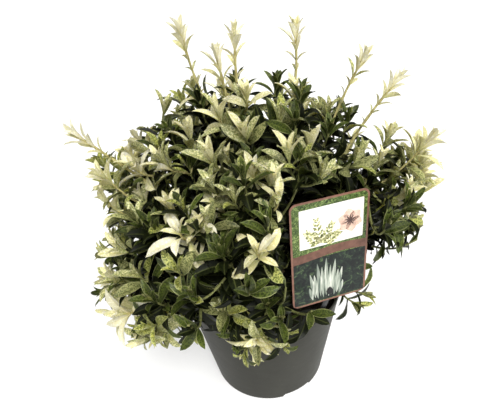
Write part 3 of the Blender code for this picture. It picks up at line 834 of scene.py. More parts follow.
def clearOfThings(points):  # True if these points miss the pot, soil, label and stake
    radius, height = np.hypot(points[:, 0], points[:, 1]), points[:, 2]
    outer = potRadius(height)
    below = height < pot["height"] + clearance["pot"]
    if np.any(below & (radius < outer + clearance["pot"]) & (radius > outer - clearance["potInside"])):
        return False
    within = radius < outer
    if np.any(within & (height < soil["top"] + clearance["soil"])) or np.any(height < clearance["floor"]):
        return False
    if np.any(below & within) and np.any(below & (radius > outer)):
        return False
    x, y, z = (points @ labelBack[:3, :3].T + labelBack[:3, 3]).T
    halfW, halfH = label["width"] / 2, label["height"] / 2
    aside, past, before = clearance["labelSight"]
    seenX, seenY = (np.abs(value - slope * z) for value, slope in zip((x, y), label["seenFrom"]))
    if np.any((seenX < halfW + aside) & (seenY < halfH + past) & (z > 0) & (z < before)):
        return False
    over = (np.abs(x) < halfW + clearance["labelEdge"]) & (np.abs(y) < halfH + clearance["labelEdge"])
    if np.any(over & (np.abs(z) < clearance["labelFace"])):
        return False
    if np.any(over & (z > 0)) and np.any(over & (z < 0)):
        return False
    back, front = clearance["stakeBehind"]
    foot = (np.abs(x) < clearance["stakeSide"]) & (y < clearance["stakeFrom"]) & (z < front) & (z > back)
    return not np.any(foot)


# one leaf of each shape, made once and copied
leafShapes = {  # width, bend at the foot, bend at the tip, fold, twist in degrees
    "bud": (0.23, 0.14, -0.27, 0.62, 8),
    "budWide": (0.28, 0.10, -0.29, 0.52, -10),
    "spread": (0.32, 0.02, -0.34, 0.46, -12),
    "spreadLong": (0.29, -0.02, -0.28, 0.50, 14),
    "old": (0.37, -0.06, -0.22, 0.36, 10),
    "oldFlat": (0.40, -0.04, -0.14, 0.26, -8),
}
leafRows = (0.07, 0.18, 0.32, 0.46, 0.60, 0.74, 0.88)
blade = {"footHalf": 0.022, "footTo": 0.08, "ripple": 0.10, "waves": 9, "keel": 0.012, "footKeel": 0.024}


def bladeWidth(t, peak=0.60, power=1.02):
    other = power * (1 - peak) / peak
    return (t / peak) ** power * ((1 - t) / (1 - peak)) ** other


def makeLeaf(name):
    width, footBend, tipBend, fold, twist = leafShapes[name]
    cone = bpy.ops.mesh.primitive_cone_add
    leaf = added(cone, vertices=4, radius1=1, radius2=0, depth=1, location=(0, 0, 0.5))
    startEdit()
    for row in leafRows:
        pickAll()
        bpy.ops.mesh.bisect(plane_co=(0, 0, row), plane_no=(0, 0, 1))
    leaveEdit()
    marks = []
    for vertex in leaf.data.vertices:
        t = vertex.co.z
        half = 0.5 * width * bladeWidth(min(0.999, max(0.001, t))) if t < 0.999 else 0.0
        half = max(half, blade["footHalf"]) if t < blade["footTo"] else half
        side = 0 if abs(vertex.co.x) < 1e-4 else math.copysign(1, vertex.co.x)
        marks.append((abs(side), t, 0.0))
        middle = footBend * t * t + tipBend * t ** 3
        ripple = blade["ripple"] * math.sin(t * blade["waves"] + side + width * 40) if 0.2 < t < 0.95 else 0.0
        if side:
            x, y = side * half, middle + half * (fold + ripple)
        else:
            thick = blade["keel" if t > 0.1 else "footKeel"]
            x, y = 0.0, middle + (0.0 if vertex.co.y > 0 else -thick * min(1.0, (1.02 - t) * 4))
        turn = math.radians(twist) * t
        rise, c, s = y - middle, math.cos(turn), math.sin(turn)
        vertex.co = (x * c - rise * s, middle + x * s + rise * c, t * (1 - 0.05 * t))
    bm = bmesh.new()
    bm.from_mesh(leaf.data)
    bmesh.ops.recalc_face_normals(bm, faces=bm.faces)
    bm.to_mesh(leaf.data)
    bm.free()
    shape = {
        "points": np.array([v.co[:] for v in leaf.data.vertices]),
        "corners": np.concatenate([np.array(p.vertices[:]) for p in leaf.data.polygons]),
        "sizes": np.array([len(p.vertices) for p in leaf.data.polygons]),
        "marks": np.array(marks),
    }
    bpy.data.objects.remove(leaf, do_unlink=True)
    return shape


leaves = {name: makeLeaf(name) for name in leafShapes}
print("leaf shapes made, faces each:", len(leaves["bud"]["sizes"]))

# pairs of leaves back from a twig's tip: distance, lean off the twig, leaf length, shapes
pairs = (
    (0.0000, 5, 0.0140, ("bud",)),
    (0.0012, 12, 0.0200, ("bud",)),
    (0.0034, 21, 0.0255, ("bud", "budWide")),
    (0.0070, 32, 0.0285, ("budWide",)),
    (0.0115, 42, 0.0305, ("budWide", "spread")),
    (0.0170, 51, 0.0315, ("spread", "spreadLong")),
    (0.0230, 59, 0.0320, ("spread", "spreadLong")),
    (0.0315, 65, 0.0320, ("spread", "old")),
    (0.0415, 70, 0.0325, ("old", "spread")),
    (0.0525, 73, 0.0330, ("old", "oldFlat")),
    (0.0645, 76, 0.0330, ("old", "oldFlat")),
    (0.0775, 80, 0.0320, ("old", "oldFlat")),
    (0.0910, 82, 0.0310, ("old", "oldFlat")),
    (0.1055, 84, 0.0300, ("old", "oldFlat")),
)
rosettePairs = (  # broad leaves that open flat
    (0.0000, 8, 0.0150, ("bud",)),
    (0.0020, 24, 0.0225, ("budWide",)),
    (0.0050, 43, 0.0290, ("spread",)),
    (0.0090, 58, 0.0330, ("old", "spread")),
    (0.0160, 70, 0.0345, ("old",)),
    (0.0260, 79, 0.0340, ("oldFlat",)),
    (0.0380, 84, 0.0330, ("oldFlat",)),
)
leaderPairs = (  # the tight tuft on a long bare shoot
    (0.0000, 4, 0.0140, ("bud",)),
    (0.0012, 9, 0.0195, ("bud",)),
    (0.0032, 15, 0.0225, ("bud",)),
    (0.0065, 22, 0.0235, ("bud",)),
    (0.0110, 30, 0.0235, ("bud", "budWide")),
    (0.0170, 37, 0.0215, ("budWide",)),
    (0.0250, 40, 0.0170, ("budWide",)),
    (0.0350, 42, 0.0120, ("bud",)),
    (0.0450, 46, 0.0090, ("bud",)),
)
tones = {  # the colour of each pair back from the tip, dark from there on: a near-black that is partly the old leaves' own dark green, partly painted shade
    "ivory": "ivory ivory ivory ivory ivory cream cream freckled freckled",
    "bright": "ivory cream ivory ivory cream cream freckled mottled",
    "cream": "cream cream cream cream cream freckled mottled green",
    "pale": "cream cream freckled freckled olive freckled olive mottled green",
    "butter": "butter butter cream butter butter olive mottled green",
    "freckled": "cream cream cream freckled freckled mottled green",
    "mottled": "cream freckled freckled mottled mottled green green",
    "olive": "olive olive olive olive green olive green",
    "green": "mottled green green green green",
    "broad": "mottled olive mottled green green green green",
    "dark": "green",
}
paleTones = ("cream", "bright", "butter")
rosetteTones = ("bright", "butter", "pale", "olive", "broad")
toneSlots = {}
for toneName, words in tones.items():
    slots = [leafNames.index("leaf" + word.capitalize()) for word in words.split()]
    toneSlots[toneName] = slots + [lastSlot] * (len(pairs) - len(slots))

# sprays that stand out on the side that shows: azimuth, elevation, reach, tone, size
showySprays = (
    (-150, 58, 0.213, "cream", 1.0), (-168, 50, 0.213, "bright", 1.0), (-154, 69, 0.213, "cream", 1.05),
    (150, 66, 0.228, "olive", 1.0), (-117, 63, 0.215, "freckled", 1.15), (-98, 71, 0.219, "freckled", 1.1),
    (-126, 75, 0.229, "cream", 1.05), (-100, 84, 0.229, "cream", 0.9), (-16, 78, 0.229, "cream", 0.9),
    (-70, 72, 0.228, "mottled", 1.05), (-72, 63, 0.215, "freckled", 1.1), (-56, 64, 0.215, "cream", 1.15),
    (-31, 54, 0.203, "mottled", 1.1), (1, 38, 0.207, "cream", 1.0), (-3, 36, 0.225, "cream", 1.1),
    (-6, 31, 0.222, "butter", 1.0), (-20, 35, 0.204, "freckled", 1.1), (-93, 59, 0.215, "cream", 0.9),
    (-85, 56, 0.215, "freckled", 1.0), (-84, 51, 0.215, "cream", 0.9), (-58, 49, 0.215, "freckled", 0.9),
    (-118, 42, 0.221, "bright", 0.95), (-110, 46, 0.215, "mottled", 0.85), (-93, 39, 0.213, "butter", 0.82),
    (-128, 48, 0.213, "cream", 0.85), (180, 36, 0.220, "olive", 0.9), (-142, 32, 0.213, "freckled", 1.0),
    (-117, 33, 0.215, "olive", 0.92), (-132, 10, 0.192, "olive", 0.9), (-142, 23, 0.188, "mottled", 1.1),
    (-115, 15, 0.188, "green", 1.0), (-96, 8, 0.168, "pale", 0.98), (-87, 15, 0.165, "green", 1.0),
    (-52, 7, 0.141, "broad", 0.95), (-36, -9, 0.137, "broad", 0.95), (-43, 34, 0.203, "green", 1.0),
    (-96, 30, 0.215, "green", 1.05), (-62, 55, 0.215, "mottled", 1.0), (-101, 52, 0.215, "mottled", 1.0),
    (-104, 39, 0.215, "green", 1.0), (-131, 41, 0.213, "green", 1.0), (-111, 55, 0.215, "mottled", 1.0),
    (-61, 69, 0.227, "green", 1.0), (-145, 8, 0.197, "bright", 1.12), (-149, 19, 0.200, "freckled", 1.1),
    (-136, 2, 0.194, "pale", 0.85), (-113, 46, 0.215, "bright", 0.6), (-89, 45, 0.215, "green", 1.0),
    (-111, 28, 0.215, "green", 1.0), (-59, 32, 0.215, "green", 1.0), (-8, 12, 0.190, "broad", 1.1),
    (-10, 22, 0.200, "broad", 1.1), (-132, 19, 0.190, "green", 1.0), (-142, 41, 0.213, "mottled", 0.95),
)
toneShares = {  # tone: share low on the crown, share high up, share high up on the side with the showy sprays
    "cream": (0.10, 0.28, 0.05),
    "bright": (0.04, 0.05, 0.0),
    "butter": (0.03, 0.03, 0.0),
    "freckled": (0.12, 0.22, 0.12),
    "mottled": (0.20, 0.20, 0.16),
    "olive": (0.22, 0.06, 0.08),
}


def toneAt(away, rng):  # pale tips above, greener ones below and inside
    height = min(1.0, max(0.0, (elevationOf(away) + 2) / 55))
    shown = away.normalized().dot(direction(-92, 35)) > 0.45
    draw = rng.random()
    for tone, (low, high, front) in toneShares.items():
        if shown:
            low, high = low * 0.75, front
        draw -= low + (high - low) * height
        if draw < 0:
            return tone
    return "green"


def either(rng, most):  # a draw to either side of nought
    return rng.uniform(-most, most)


def curvedPath(start, bend, end, steps=10):
    return [bezier([start, bend, end], i / steps) for i in range(steps + 1)]


def along(path, back):  # point and heading at a distance back from the tip, or None past the root
    for i in range(len(path) - 1, 0, -1):
        length = (path[i] - path[i - 1]).length
        if back <= length:
            return path[i].lerp(path[i - 1], back / length), (path[i] - path[i - 1]).normalized()
        back -= length
    return None


def addTwig(heap, path, thick, thin, slot, nodes=None, sides=6):
    rings = []
    total = sum((b - a).length for a, b in zip(path, path[1:]))
    walked = 0.0
    turns = [math.tau * k / sides for k in range(sides)]
    ring = np.array([(math.cos(turn), math.sin(turn), 0.0) for turn in turns])
    for i, point in enumerate(path):
        if i:
            walked += (point - path[i - 1]).length
        ahead = path[min(i + 1, len(path) - 1)] - path[max(i - 1, 0)]
        radius = thick + (thin - thick) * walked / total
        if nodes and i % nodes == 0:
            radius *= 1.35
        rings.append(ring * radius @ np.array(frameAlong(ahead)).T + np.array(point))
    rings.append(np.array([path[-1] + (path[-1] - path[-2]).normalized() * thin]))
    points = np.concatenate(rings)
    corners, sizes = [], []
    for i in range(len(path)):
        for k in range(sides):
            a, b = i * sides + k, i * sides + (k + 1) % sides
            last = i == len(path) - 1
            corners += (a, b, len(points) - 1) if last else (a, b, b + sides, a + sides)
            sizes.append(3 if last else 4)
    corners += reversed(range(sides))
    addToHeap(heap, points, np.array(corners), np.array(sizes + [sides]), slot)


leafPlay = {  # how the leaves of one twig vary
    "kept": 5,  # pairs up to this one are never thinned
    "toneShift": 0.16,  # chance of a tone a step off, and that it is the greener one
    "greener": 0.6,
    "spin": 0.22,
    "lean": 8,
    "roll": 16,
    "size": (0.86, 1.12),
    "tried": (1.0, 0.8),  # a leaf that doesn't fit is tried again smaller
}


def dress(
    name, path, tone, size, limit, rng, heap, first=0, last=14, keep=1.0, spacing=1.0, table=pairs, free=False
):
    placed = 0
    quarter = rng.uniform(0, math.pi)
    out = path[-1] - bush["centre"]
    lowest = min(skirtElevation(out), elevationOf(out)) - bush["skirtHang"] - 3
    for index in range(first, min(last, len(table))):
        back, lean, length, shapes = table[index]
        spot = along(path, back * size * spacing)
        if spot is None:
            break
        place, heading = spot
        base = frameAlong(heading).to_4x4()
        for side in (0, math.pi):
            if index > leafPlay["kept"] and rng.random() > keep:
                continue
            slot = toneSlots[tone][index]
            if rng.random() < leafPlay["toneShift"] and slot < lastSlot:
                step = 1 if slot and rng.random() < leafPlay["greener"] else -1
                slot = min(lastSlot, slot + step) if slot else 0
            spin = quarter + index * math.pi / 2 + side + either(rng, leafPlay["spin"])
            tilt = math.radians(lean + either(rng, leafPlay["lean"]))
            grown = length * size * rng.uniform(*leafPlay["size"])
            roll = math.radians(either(rng, leafPlay["roll"]))
            shape = leaves[rng.choice(shapes)]
            turn = base @ Matrix.Rotation(spin, 4, "Z") @ Matrix.Rotation(tilt, 4, "X")
            turn = np.array(turn @ Matrix.Rotation(roll, 4, "Z"))[:3, :3].T
            for smaller in leafPlay["tried"]:
                points = shape["points"] @ (turn * grown * smaller) + np.array(place)
                away = points - centre
                far = np.linalg.norm(away, axis=1)
                low = np.degrees(np.arcsin(np.clip(away[:, 2] / far, -1, 1))).min()
                fits = far.max() < limit and low > lowest
                fits = fits and cellDepths(name, points).min() > -bush["overlap"]
                if fits and clearOfThings(points) and (free or inView(points)):
                    marks = shape["marks"] + (0.0, 0.0, (placed * goldenShare + quarter) % 1.0)
                    addToHeap(heap, points, shape["corners"], shape["sizes"], slot, marks)
                    placed += 1
                    break
    return placed


def risingFrom(tip):  # twigs turn up at their tips, less so round the skirt
    out = (tip - bush["centre"]).normalized()
    lift = min(1.0, max(0.0, (elevationOf(out) + 4) / 28))
    spread = Vector((out.x * 0.60, out.y * (0.75 - 0.45 * lift), out.z * 0.4))
    return (spread + Vector((0, 0, 0.12 + 0.70 * lift))).normalized()


growth = {
    "bend": 0.45,  # how soon a shoot turns the way its tip points, and one with a heading of its own
    "headedBend": 0.6,
    "shootThick": (0.0015, 0.0010),
    "twigThick": (0.0014, 0.0009),
    "shootSize": (0.9, 1.05),
    "bareSize": 1.06,
    "leafPast": 0.016,  # how far leaves may pass a shoot's reach, a twig's tip and the mass's own reach
    "twigPast": 0.02,
    "massPast": 1.04,
    "showyInset": 0.018,
    "spineSpacings": (0.8, 1.1),
    "rootInward": 0.022,  # a twig leaves a shoot at least this much further in, this far from its tip
    "rootAway": 0.028,
    "showyRoom": 0.024,
    "rosetteRoom": 1.3,
    "labelShadePast": (284, 284),  # below and right of this image place, under the label, only green and near-black sprays: partly their own green, partly painted shade under the label
    "tipRun": 0.013,
    "triedTo": math.radians(46),
    "cellEdge": math.radians(1.5),
    "layers": (  # outer sprays, then greener ones below them, then the dark inside, whose near-black leaves are partly their own dark green, partly painted shade
        {"tries": 300, "far": (0.86, 1.0), "room": 0.0195, "size": (0.86, 1.06), "keep": 0.8, "last": 9},
        {"tries": 260, "far": (0.68, 0.84), "room": 0.0172, "size": (1.0, 1.15), "keep": 0.9, "last": 8},
        {"tries": 200, "far": (0.44, 0.66), "room": 0.0190, "size": (1.1, 1.3), "keep": 0.9, "last": 7},
    ),
    "layerTones": ((), ("green", "dark", "dark", "dark", "dark"), ("dark",)),  # none: by the place
}


# sprays under the label are green and near-black: partly their own green, partly painted shade under the
# label and crown
def greenInLabelShade(name, tip):
    x, y = imagePlace(np.array([tip]))
    pastX, pastY = growth["labelShadePast"]
    return name == "foliage_low_front_right" or (x[0] > pastX and y[0] > pastY)


def hasRoom(path, free=False):
    stalk = np.array([point[:] for point in path])
    return clearOfThings(stalk) and (free or inView(stalk))


def growMass(name):
    index = list(masses).index(name)
    reach, axis = masses[name][2], massDirection(name)
    shoots = mainShoots(name, random.Random(bush["seed"] * 100 + index))
    rng = random.Random(bush["seed"] * 7000 + index)
    leafHeap, twigHeap = newHeap(), newHeap()
    start = bush["centre"] + axis * (reach * bush["forkShare"] + bush["gap"])
    end = bush["centre"] + axis * (reach * bush["spineShare"])
    spine = [start.lerp(end, i / 6) for i in range(7)]
    addTwig(twigHeap, spine, bush["boughTip"], bush["spineTip"], 0)
    showy = []
    for azimuth, elevation, far, tone, size in showySprays:
        towards = direction(azimuth, elevation)
        if cellAngle(name, towards) > 0:
            showy.append((bush["centre"] + towards * (far - growth["showyInset"]), tone, size))
    limbs, tips, count, made = [], [], 0, 0

    for shoot in shoots:
        root = start.lerp(end, shoot["root"])
        tip, bare, free = shoot["tip"], shoot["bare"], shoot["free"]
        span = (tip - root).length
        ahead = Vector(shoot["heading"]).normalized() if shoot["heading"] else risingFrom(tip)
        bend = growth["headedBend" if shoot["heading"] else "bend"]
        path = curvedPath(root, tip - ahead * span * bend, tip, 12)
        run = growth["tipRun"] * shoot["run"]
        path += [tip + ahead * run * s for s in (0.5, 1.0)]
        if not hasRoom(path, free):
            continue
        tone = shoot["tone"]
        if not tone:
            crowded = any((place - path[-1]).length < growth["showyRoom"] for place, _, _ in showy)
            plain = crowded or greenInLabelShade(name, path[-1])
            tone = "green" if plain else toneAt(path[-1] - bush["centre"], rng)
        size = growth["bareSize"] if bare else rng.uniform(*growth["shootSize"])
        young = 2 if bare or tone in paleTones else 1
        addTwig(twigHeap, path, *growth["shootThick"], young, 2 if bare else None)
        table = leaderPairs if bare else rosettePairs if shoot["open"] else pairs
        limit = shoot["reach"] + growth["leafPast"]
        count += dress(name, path, tone, size, limit, rng, leafHeap, 0, 14, 0.85, 1.0, table, free)
        if bare:
            count += dress(name, path[:6], "mottled", 0.9, reach, rng, leafHeap, 1, 9, 0.85)
        limbs.append(path)
        tips.append((path[-1], 1.0))

    def rooted(tip):  # the nearest point further in on a main shoot
        best = None
        far = (tip - bush["centre"]).length
        for path in limbs + [spine]:
            for point in path[:-1]:
                inner = (point - bush["centre"]).length
                span = (tip - point).length
                clear = inner < far - growth["rootInward"] and span > growth["rootAway"]
                if clear and (best is None or span < best[0]):
                    best = (span, point)
        return best[1] if best else start.lerp(end, 0.5)

    def finer(tip, tone, size, keep, last, table=pairs):
        root = rooted(tip)
        path = curvedPath(root, tip - risingFrom(tip) * (tip - root).length * 0.5, tip, 9)
        if not hasRoom(path):
            return 0
        addTwig(twigHeap, path, *growth["twigThick"], 2 if tone in paleTones else 1)
        limit = max(reach * growth["massPast"], (tip - bush["centre"]).length + growth["twigPast"])
        return dress(name, path, tone, size, limit, rng, leafHeap, 0, last, keep, 1.0, table)

    for place, tone, size in showy:
        opens = tone in rosetteTones
        count += finer(place, tone, size * 1.04, 0.95, 12, rosettePairs if opens else pairs)
        tips.append((place, growth["rosetteRoom"] if opens else 1.0))

    turn = frameAlong(axis)
    for layer, layerTones in zip(growth["layers"], growth["layerTones"]):
        phase = rng.uniform(0, math.tau)
        for k in range(layer["tries"]):
            off = growth["triedTo"] * math.sqrt((k * goldenShare + 0.5) % 1.0)
            towards = turn @ coneRay(off, phase + k * goldenAngle)
            outside = cellAngle(name, towards) < growth["cellEdge"]
            if outside or elevationOf(towards) < skirtElevation(towards) - 4:
                continue
            tip = bush["centre"] + towards * (reach * rng.uniform(*layer["far"]) - growth["leafPast"])
            if any((tip - other).length < layer["room"] * wide for other, wide in tips):
                continue
            tone = rng.choice(layerTones or (toneAt(tip - bush["centre"], rng),))
            tone = rng.choice(("green", "dark")) if greenInLabelShade(name, tip) else tone
            leavesMade = finer(tip, tone, rng.uniform(*layer["size"]), layer["keep"], layer["last"])
            if leavesMade:
                tips.append((tip, 1.0))
                count += leavesMade
                made += 1

    for spacing in growth["spineSpacings"]:  # old leaves on the mass's own stem, near-black: partly their own dark green, partly painted shade of the crown's inside
        count += dress(name, spine, "dark", 1.0, reach, rng, leafHeap, 4, 14, 0.9, spacing)

    blades, twigs = heapObject(leafHeap), heapObject(twigHeap)
    short = name.replace("foliage_", "")
    finishPiece(blades, "leaves_" + short, [name], leafMaterials, 28)
    finishPiece(twigs, "twigs_" + short, [name], [barkOld, barkYoung, barkTan], 60)
    return count, made, len(blades.data.polygons)


total = 0
for massName in masses:
    count, made, faces = growMass(massName)
    total += count
    print(massName, "leaves", count, "fine twigs", made, "faces", faces)
print("leaves in all", total)

# the stem and the boughs, with the bark's relief
bark = {"stemSides": 40, "boughSides": 16, "ridge": 0.00055, "fine": 0.00025}


def limbPiece(path, radii, sides, steps):
    curve = bpy.data.curves.new("limb", "CURVE")
    curve.dimensions = "3D"
    curve.bevel_depth = 1.0
    curve.bevel_resolution = sides // 4 - 1
    curve.use_fill_caps = True
    curve.resolution_u = steps
    spline = curve.splines.new("POLY")
    dense, thick = [], []
    for i in range(len(path) - 1):
        for k in range(steps):
            dense.append(path[i].lerp(path[i + 1], k / steps))
            thick.append(radii[i] + (radii[i + 1] - radii[i]) * k / steps)
    dense.append(path[-1])
    thick.append(radii[-1])
    spline.points.add(len(dense) - 1)
    for knot, point, radius in zip(spline.points, dense, thick):
        knot.co = (*point, 1.0)
        knot.radius = radius
    limb = bpy.data.objects.new("limb", curve)
    bpy.context.scene.collection.objects.link(limb)
    pickOnly(limb)
    bpy.ops.object.convert(target="MESH")
    limb = bpy.context.object
    startEdit()
    closeUp(0.00002)
    for vertex in limb.data.vertices:
        stretched = Vector((vertex.co.x * 900, vertex.co.y * 900, vertex.co.z * 220))
        push = bark["ridge"] * noise.noise(stretched * 0.5) + bark["fine"] * noise.noise(stretched * 1.7)
        vertex.co -= vertex.normal * (abs(push) + 0.00003)
    return limb


def makeLimbs():
    low = bush["soilTop"] + bush["gap"]
    shares = (0, 0.04, 0.08, 0.14, 0.2, 0.32, 0.45, 0.58, 0.72, 0.86, 1)
    heights = [low + (bush["stemTop"] - low) * share for share in shares]
    path = [stemAxis(height) for height in heights]
    path[0].xy = path[1].xy
    trunk = limbPiece(path, [stemRadius(height) for height in heights], bark["stemSides"], 3)
    finishPiece(trunk, "stemBark", ["main_stem"], [barkOld], 50)
    made = []
    for name in masses:
        path = boughPath(name)
        count = len(path) - 1
        narrows = bush["boughTip"] - bush["boughBase"]
        radii = [bush["boughBase"] + narrows * i / count for i in range(count + 1)]
        made.append(limbPiece(path, radii, bark["boughSides"], 2))
    nodes = [name.replace("foliage", "bough") for name in masses]
    finishPiece(joined(made), "boughBark", nodes, [barkOld], 50)


makeLimbs()
print("stem and boughs made")


# the label: a laminated card with a plain picture in layers a twentieth of a millimetre thick
def plate(left, right, low, high, corner, back, front, segments=6):
    place = ((left + right) / 2, (low + high) / 2, back)
    piece = added(bpy.ops.mesh.primitive_plane_add, (right - left, high - low, 1), size=1, location=place)
    startEdit()
    pickAll()
    if corner:
        bpy.ops.mesh.bevel(offset=corner, segments=segments, affect="VERTICES")
    bpy.ops.mesh.select_mode(type="FACE")
    pickAll()
    extrude(0, 0, front - back)
    closeUp()
    return piece


def petalPlate(x, y, length, width, angle, back, front):  # one printed leaf
    piece = added(bpy.ops.mesh.primitive_circle_add, vertices=16, radius=0.5, fill_type="NGON")
    for vertex in piece.data.vertices:
        t, side = vertex.co.y + 0.5, vertex.co.x
        wide = 0.001 < t < 0.999 and abs(side) > 1e-4
        half = math.copysign(0.5 * width * math.sin(math.pi * t) ** 0.8, side) if wide else 0.0
        vertex.co = (half, t * length, back)
    startEdit("FACE")
    pickAll()
    extrude(0, 0, front - back)
    closeUp()
    piece.data.transform(Matrix.Translation((x, y, 0)) @ Matrix.Rotation(math.radians(angle), 4, "Z"))
    return piece


prints = {  # material, scale, detail, stretch and swirl of its pattern, then places in it and their colours
    "labelCard": ("brownPrint", (180, 4.0, None, 0.0), (0.35, 118, 84, 70), (0.65, 138, 100, 84)),
    "labelEdgePrint": (
        "leafyPrint", (330, 5.0, None, 1.5),
        (0.38, 34, 48, 24), (0.52, 74, 96, 44), (0.66, 142, 160, 96),
    ),
    "labelLowerPrint": (
        "forestPrint", (150, 6.0, None, 1.2),
        (0.40, 12, 17, 17), (0.56, 30, 42, 34), (0.68, 78, 96, 62),
    ),
    "labelUpperPrint": (
        "creamPrint", (26, 1.0, None, 0.0),
        (0.30, 240, 236, 226), (0.55, 245, 240, 232), (0.72, 236, 205, 184),
    ),
    "labelBandPrint": ("bandPrint", (150, 4.0, None, 0.0), (0.35, 96, 66, 54), (0.65, 116, 82, 68)),
    "labelBladePrint": (
        "mistyPrint", (330, 3.0, (1.0, 1.0, 0.10), 0.0),
        (0.34, 90, 102, 92), (0.52, 160, 168, 154), (0.68, 216, 218, 206),
    ),
    "labelSprigPrint": (
        "sprigPrint", (520, 3.0, None, 0.0),
        (0.42, 92, 104, 56), (0.52, 206, 204, 146), (0.62, 238, 234, 196),
    ),
    "labelBloomPrint": ("rosyPrint", (240, 3.0, None, 0.0), (0.34, 214, 176, 156), (0.66, 238, 208, 190)),
    "labelThreadPrint": ("umberPrint", (300, 3.0, None, 0.0), (0.35, 48, 36, 36), (0.65, 86, 62, 58)),
}


def printedMaterial(name, pattern, *stops):
    scale, detail, stretch, swirl = pattern
    look = surface(name, 0.32, 0.28, 0.06)
    tone = look.noise(scale, detail, 0.6, stretch, swirl)
    look.paint(look.ramp(tone, *((place, tint(*screen)) for place, *screen in stops)))
    look.bump(look.noise(60, 2.0), 0.05, 0.0005)
    return look.material


def makeLabel():
    halfW, halfH, edge = label["width"] / 2, label["height"] / 2, label["border"]
    left, right, low, high = -halfW + edge, halfW - edge, -halfH + edge, halfH - edge
    face = label["thickness"] / 2
    depths = [face + label["layer"] * n for n in range(5)]
    flat, raised = depths[2:4], depths[3:5]
    upper = (-halfW + 0.0095, halfW - 0.0060, 0.010, halfH - 0.0085, 0.0010)
    cards = {
        "labelCard": plate(-halfW, halfW, -halfH, halfH, label["corner"], -face, face, 8),
        "labelEdgePrint": plate(left, right, low, high, 0.0052, *depths[:2], 8),
        "labelLowerPrint": plate(left, right, low, -0.004, 0.0, *depths[1:3]),
        "labelUpperPrint": plate(*upper, *depths[1:3]),
        "labelBandPrint": plate(left, right, -0.0045, 0.0055, 0.0, *flat),
    }
    startEdit()
    for step in range(1, 24):  # the band is cut across, then bent into a wave
        pickAll()
        x = left + (label["width"] - 2 * edge) * step / 24
        bpy.ops.mesh.bisect(plane_co=(x, 0, 0), plane_no=(1, 0, 0))
    leaveEdit()
    for vertex in cards["labelBandPrint"].data.vertices:
        vertex.co.y += 0.0022 * math.sin(vertex.co.x * 58 + 0.9)
    for vertex in cards["labelLowerPrint"].data.vertices:  # the lower corners follow the card's
        if vertex.co.y < -0.05:
            vertex.co.y += 0.0006
    blades = []
    for index in range(11):  # pale reeds that fan from the foot of the lower print
        share, odd = index / 10 - 0.5, index % 2
        rise = 0.046 - 0.050 * share * share * 2 + (0.004 if odd else -0.003)
        x, y = -0.004 + 0.030 * share, -0.0585 + 0.002 * odd
        blades.append(petalPlate(x, y, rise, 0.0044, -26 * share, *flat))
    cards["labelBladePrint"] = joined(blades)
    spray = []
    for lean, foot, tall in label["shoots"]:
        turned = math.radians(lean)
        for index in range(6):  # leafy shoots, low on the left
            share = index / 5
            x, y = foot - math.sin(turned) * tall * share, 0.0135 + math.cos(turned) * tall * share
            size = 0.0088 - 0.0022 * share
            for side in (-1, 1):
                spray.append(petalPlate(x, y, size, size * 0.42, lean + side * (58 - 34 * share), *flat))
    cards["labelSprigPrint"] = joined(spray)
    x, y = label["bloom"]
    bloom = [petalPlate(x, y, 0.0140, 0.0120, 60 * index + 10, *flat) for index in range(6)]
    cards["labelBloomPrint"] = joined(bloom)
    threads = [petalPlate(x, y, 0.0066, 0.0014, 36 * index, *raised) for index in range(10)]
    cards["labelThreadPrint"] = joined(threads)
    cylinder, place = bpy.ops.mesh.primitive_cylinder_add, (0, label["holeAboveEdge"] - halfH, 0)
    cutter = added(cylinder, vertices=24, radius=0.0034, depth=0.01, location=place)
    for name, piece in cards.items():
        if name in ("labelCard", "labelEdgePrint", "labelLowerPrint"):
            cut = piece.modifiers.new("hole", "BOOLEAN")
            cut.object, cut.solver = cutter, "EXACT"
            applyAll(piece)
        piece.data.transform(labelPlace)
        finishPiece(piece, name, ["label"], [printedMaterial(*prints[name])])
    bpy.data.objects.remove(cutter, do_unlink=True)


makeLabel()
print("label made")

# the stake: a bent black strip with a drop-shaped stud through the label's hole
stake = {
    "width": 0.007,
    "thickness": 0.0016,
    "setback": 0.0230,
    "depth": 0.045,
    "head": 0.006,
    "point": (0.14, 0.25),  # how much of it tapers, and to what share of its width
    "dropWidth": 0.0078,
    "dropHeight": 0.0098,
    "shaftRadius": 0.0022,
}


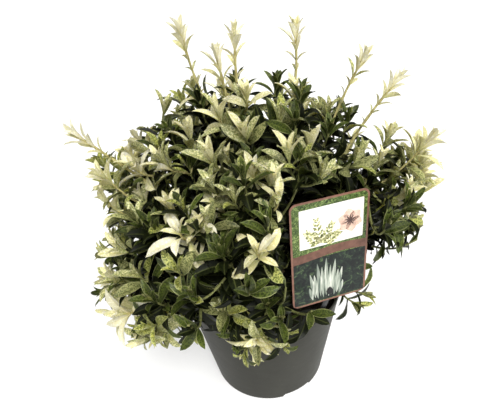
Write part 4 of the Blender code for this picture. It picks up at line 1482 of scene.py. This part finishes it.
def makeStake():
    rest = label["thickness"] / 2 + bush["gap"] + stake["thickness"] / 2
    holeY = label["holeAboveEdge"] - label["height"] / 2
    top = Vector((0, holeY + stake["head"], -rest))
    bend = Vector((0, holeY - stake["head"], -rest))
    soilY = soil["top"] - label["centre"].z
    lean = stake["setback"] / (bend.y - soilY)
    foot = Vector((0, soilY - stake["depth"], -rest - stake["setback"] - lean * stake["depth"]))
    size, place = (stake["width"], top.y - bend.y, stake["thickness"]), (0, (top.y + bend.y) / 2, -rest)
    strip = added(bpy.ops.mesh.primitive_cube_add, size, size=1, location=place)
    startEdit("FACE")
    pick(lambda middle, normal: normal.y < -0.9)
    tapered, narrowed = stake["point"]
    for share in (1 - tapered, tapered):
        extrude(*(foot - bend) * share)
    bpy.ops.transform.resize(value=(narrowed, 1, 1), center_override=tuple(foot))
    closeUp()
    soften = strip.modifiers.new("soften", "BEVEL")
    soften.width, soften.segments = 0.0003, 2
    applyAll(strip)

    stud = added(bpy.ops.mesh.primitive_circle_add, vertices=24, radius=0.5, fill_type="NGON")
    for vertex in stud.data.vertices:
        t = vertex.co.y + 0.5
        pinch = 1.0 if t < 0.45 else max(0.0, 1 - (t - 0.45) / 0.62) ** 0.8
        x = vertex.co.x * stake["dropWidth"] * (0.35 + 0.65 * pinch)
        vertex.co = (x, holeY + (t - 0.44) * stake["dropHeight"], label["thickness"] / 2 + 0.0003)
    startEdit("FACE")
    pickAll()
    extrude(0, 0, 0.0007)
    bpy.ops.mesh.inset(thickness=0.0006)
    bpy.ops.transform.translate(value=(0, 0, 0.0004))
    closeUp()

    cylinder = bpy.ops.mesh.primitive_cylinder_add
    place, thick = (0, holeY, (0.0006 - rest) / 2), stake["shaftRadius"]
    shaft = added(cylinder, vertices=24, radius=thick, depth=rest + 0.0006, location=place)
    startEdit("FACE")
    pick(lambda middle, normal: abs(normal.z) > 0.9)
    bpy.ops.mesh.inset(thickness=0.0004)
    leaveEdit()
    whole = joined([strip, stud, shaft])
    whole.data.transform(labelPlace)
    stops = (0.35, tint(9, 9, 10)), (0.65, tint(16, 16, 17))
    plastic = grainy(surface("blackPlastic", 0.42, 0.5), (140, 3.0), stops, (900, 2.0), 0.12, 0.0003)
    finishPiece(whole, "stakeStrip", ["label_stake"], [plastic], 30)


makeStake()
print("stake made")
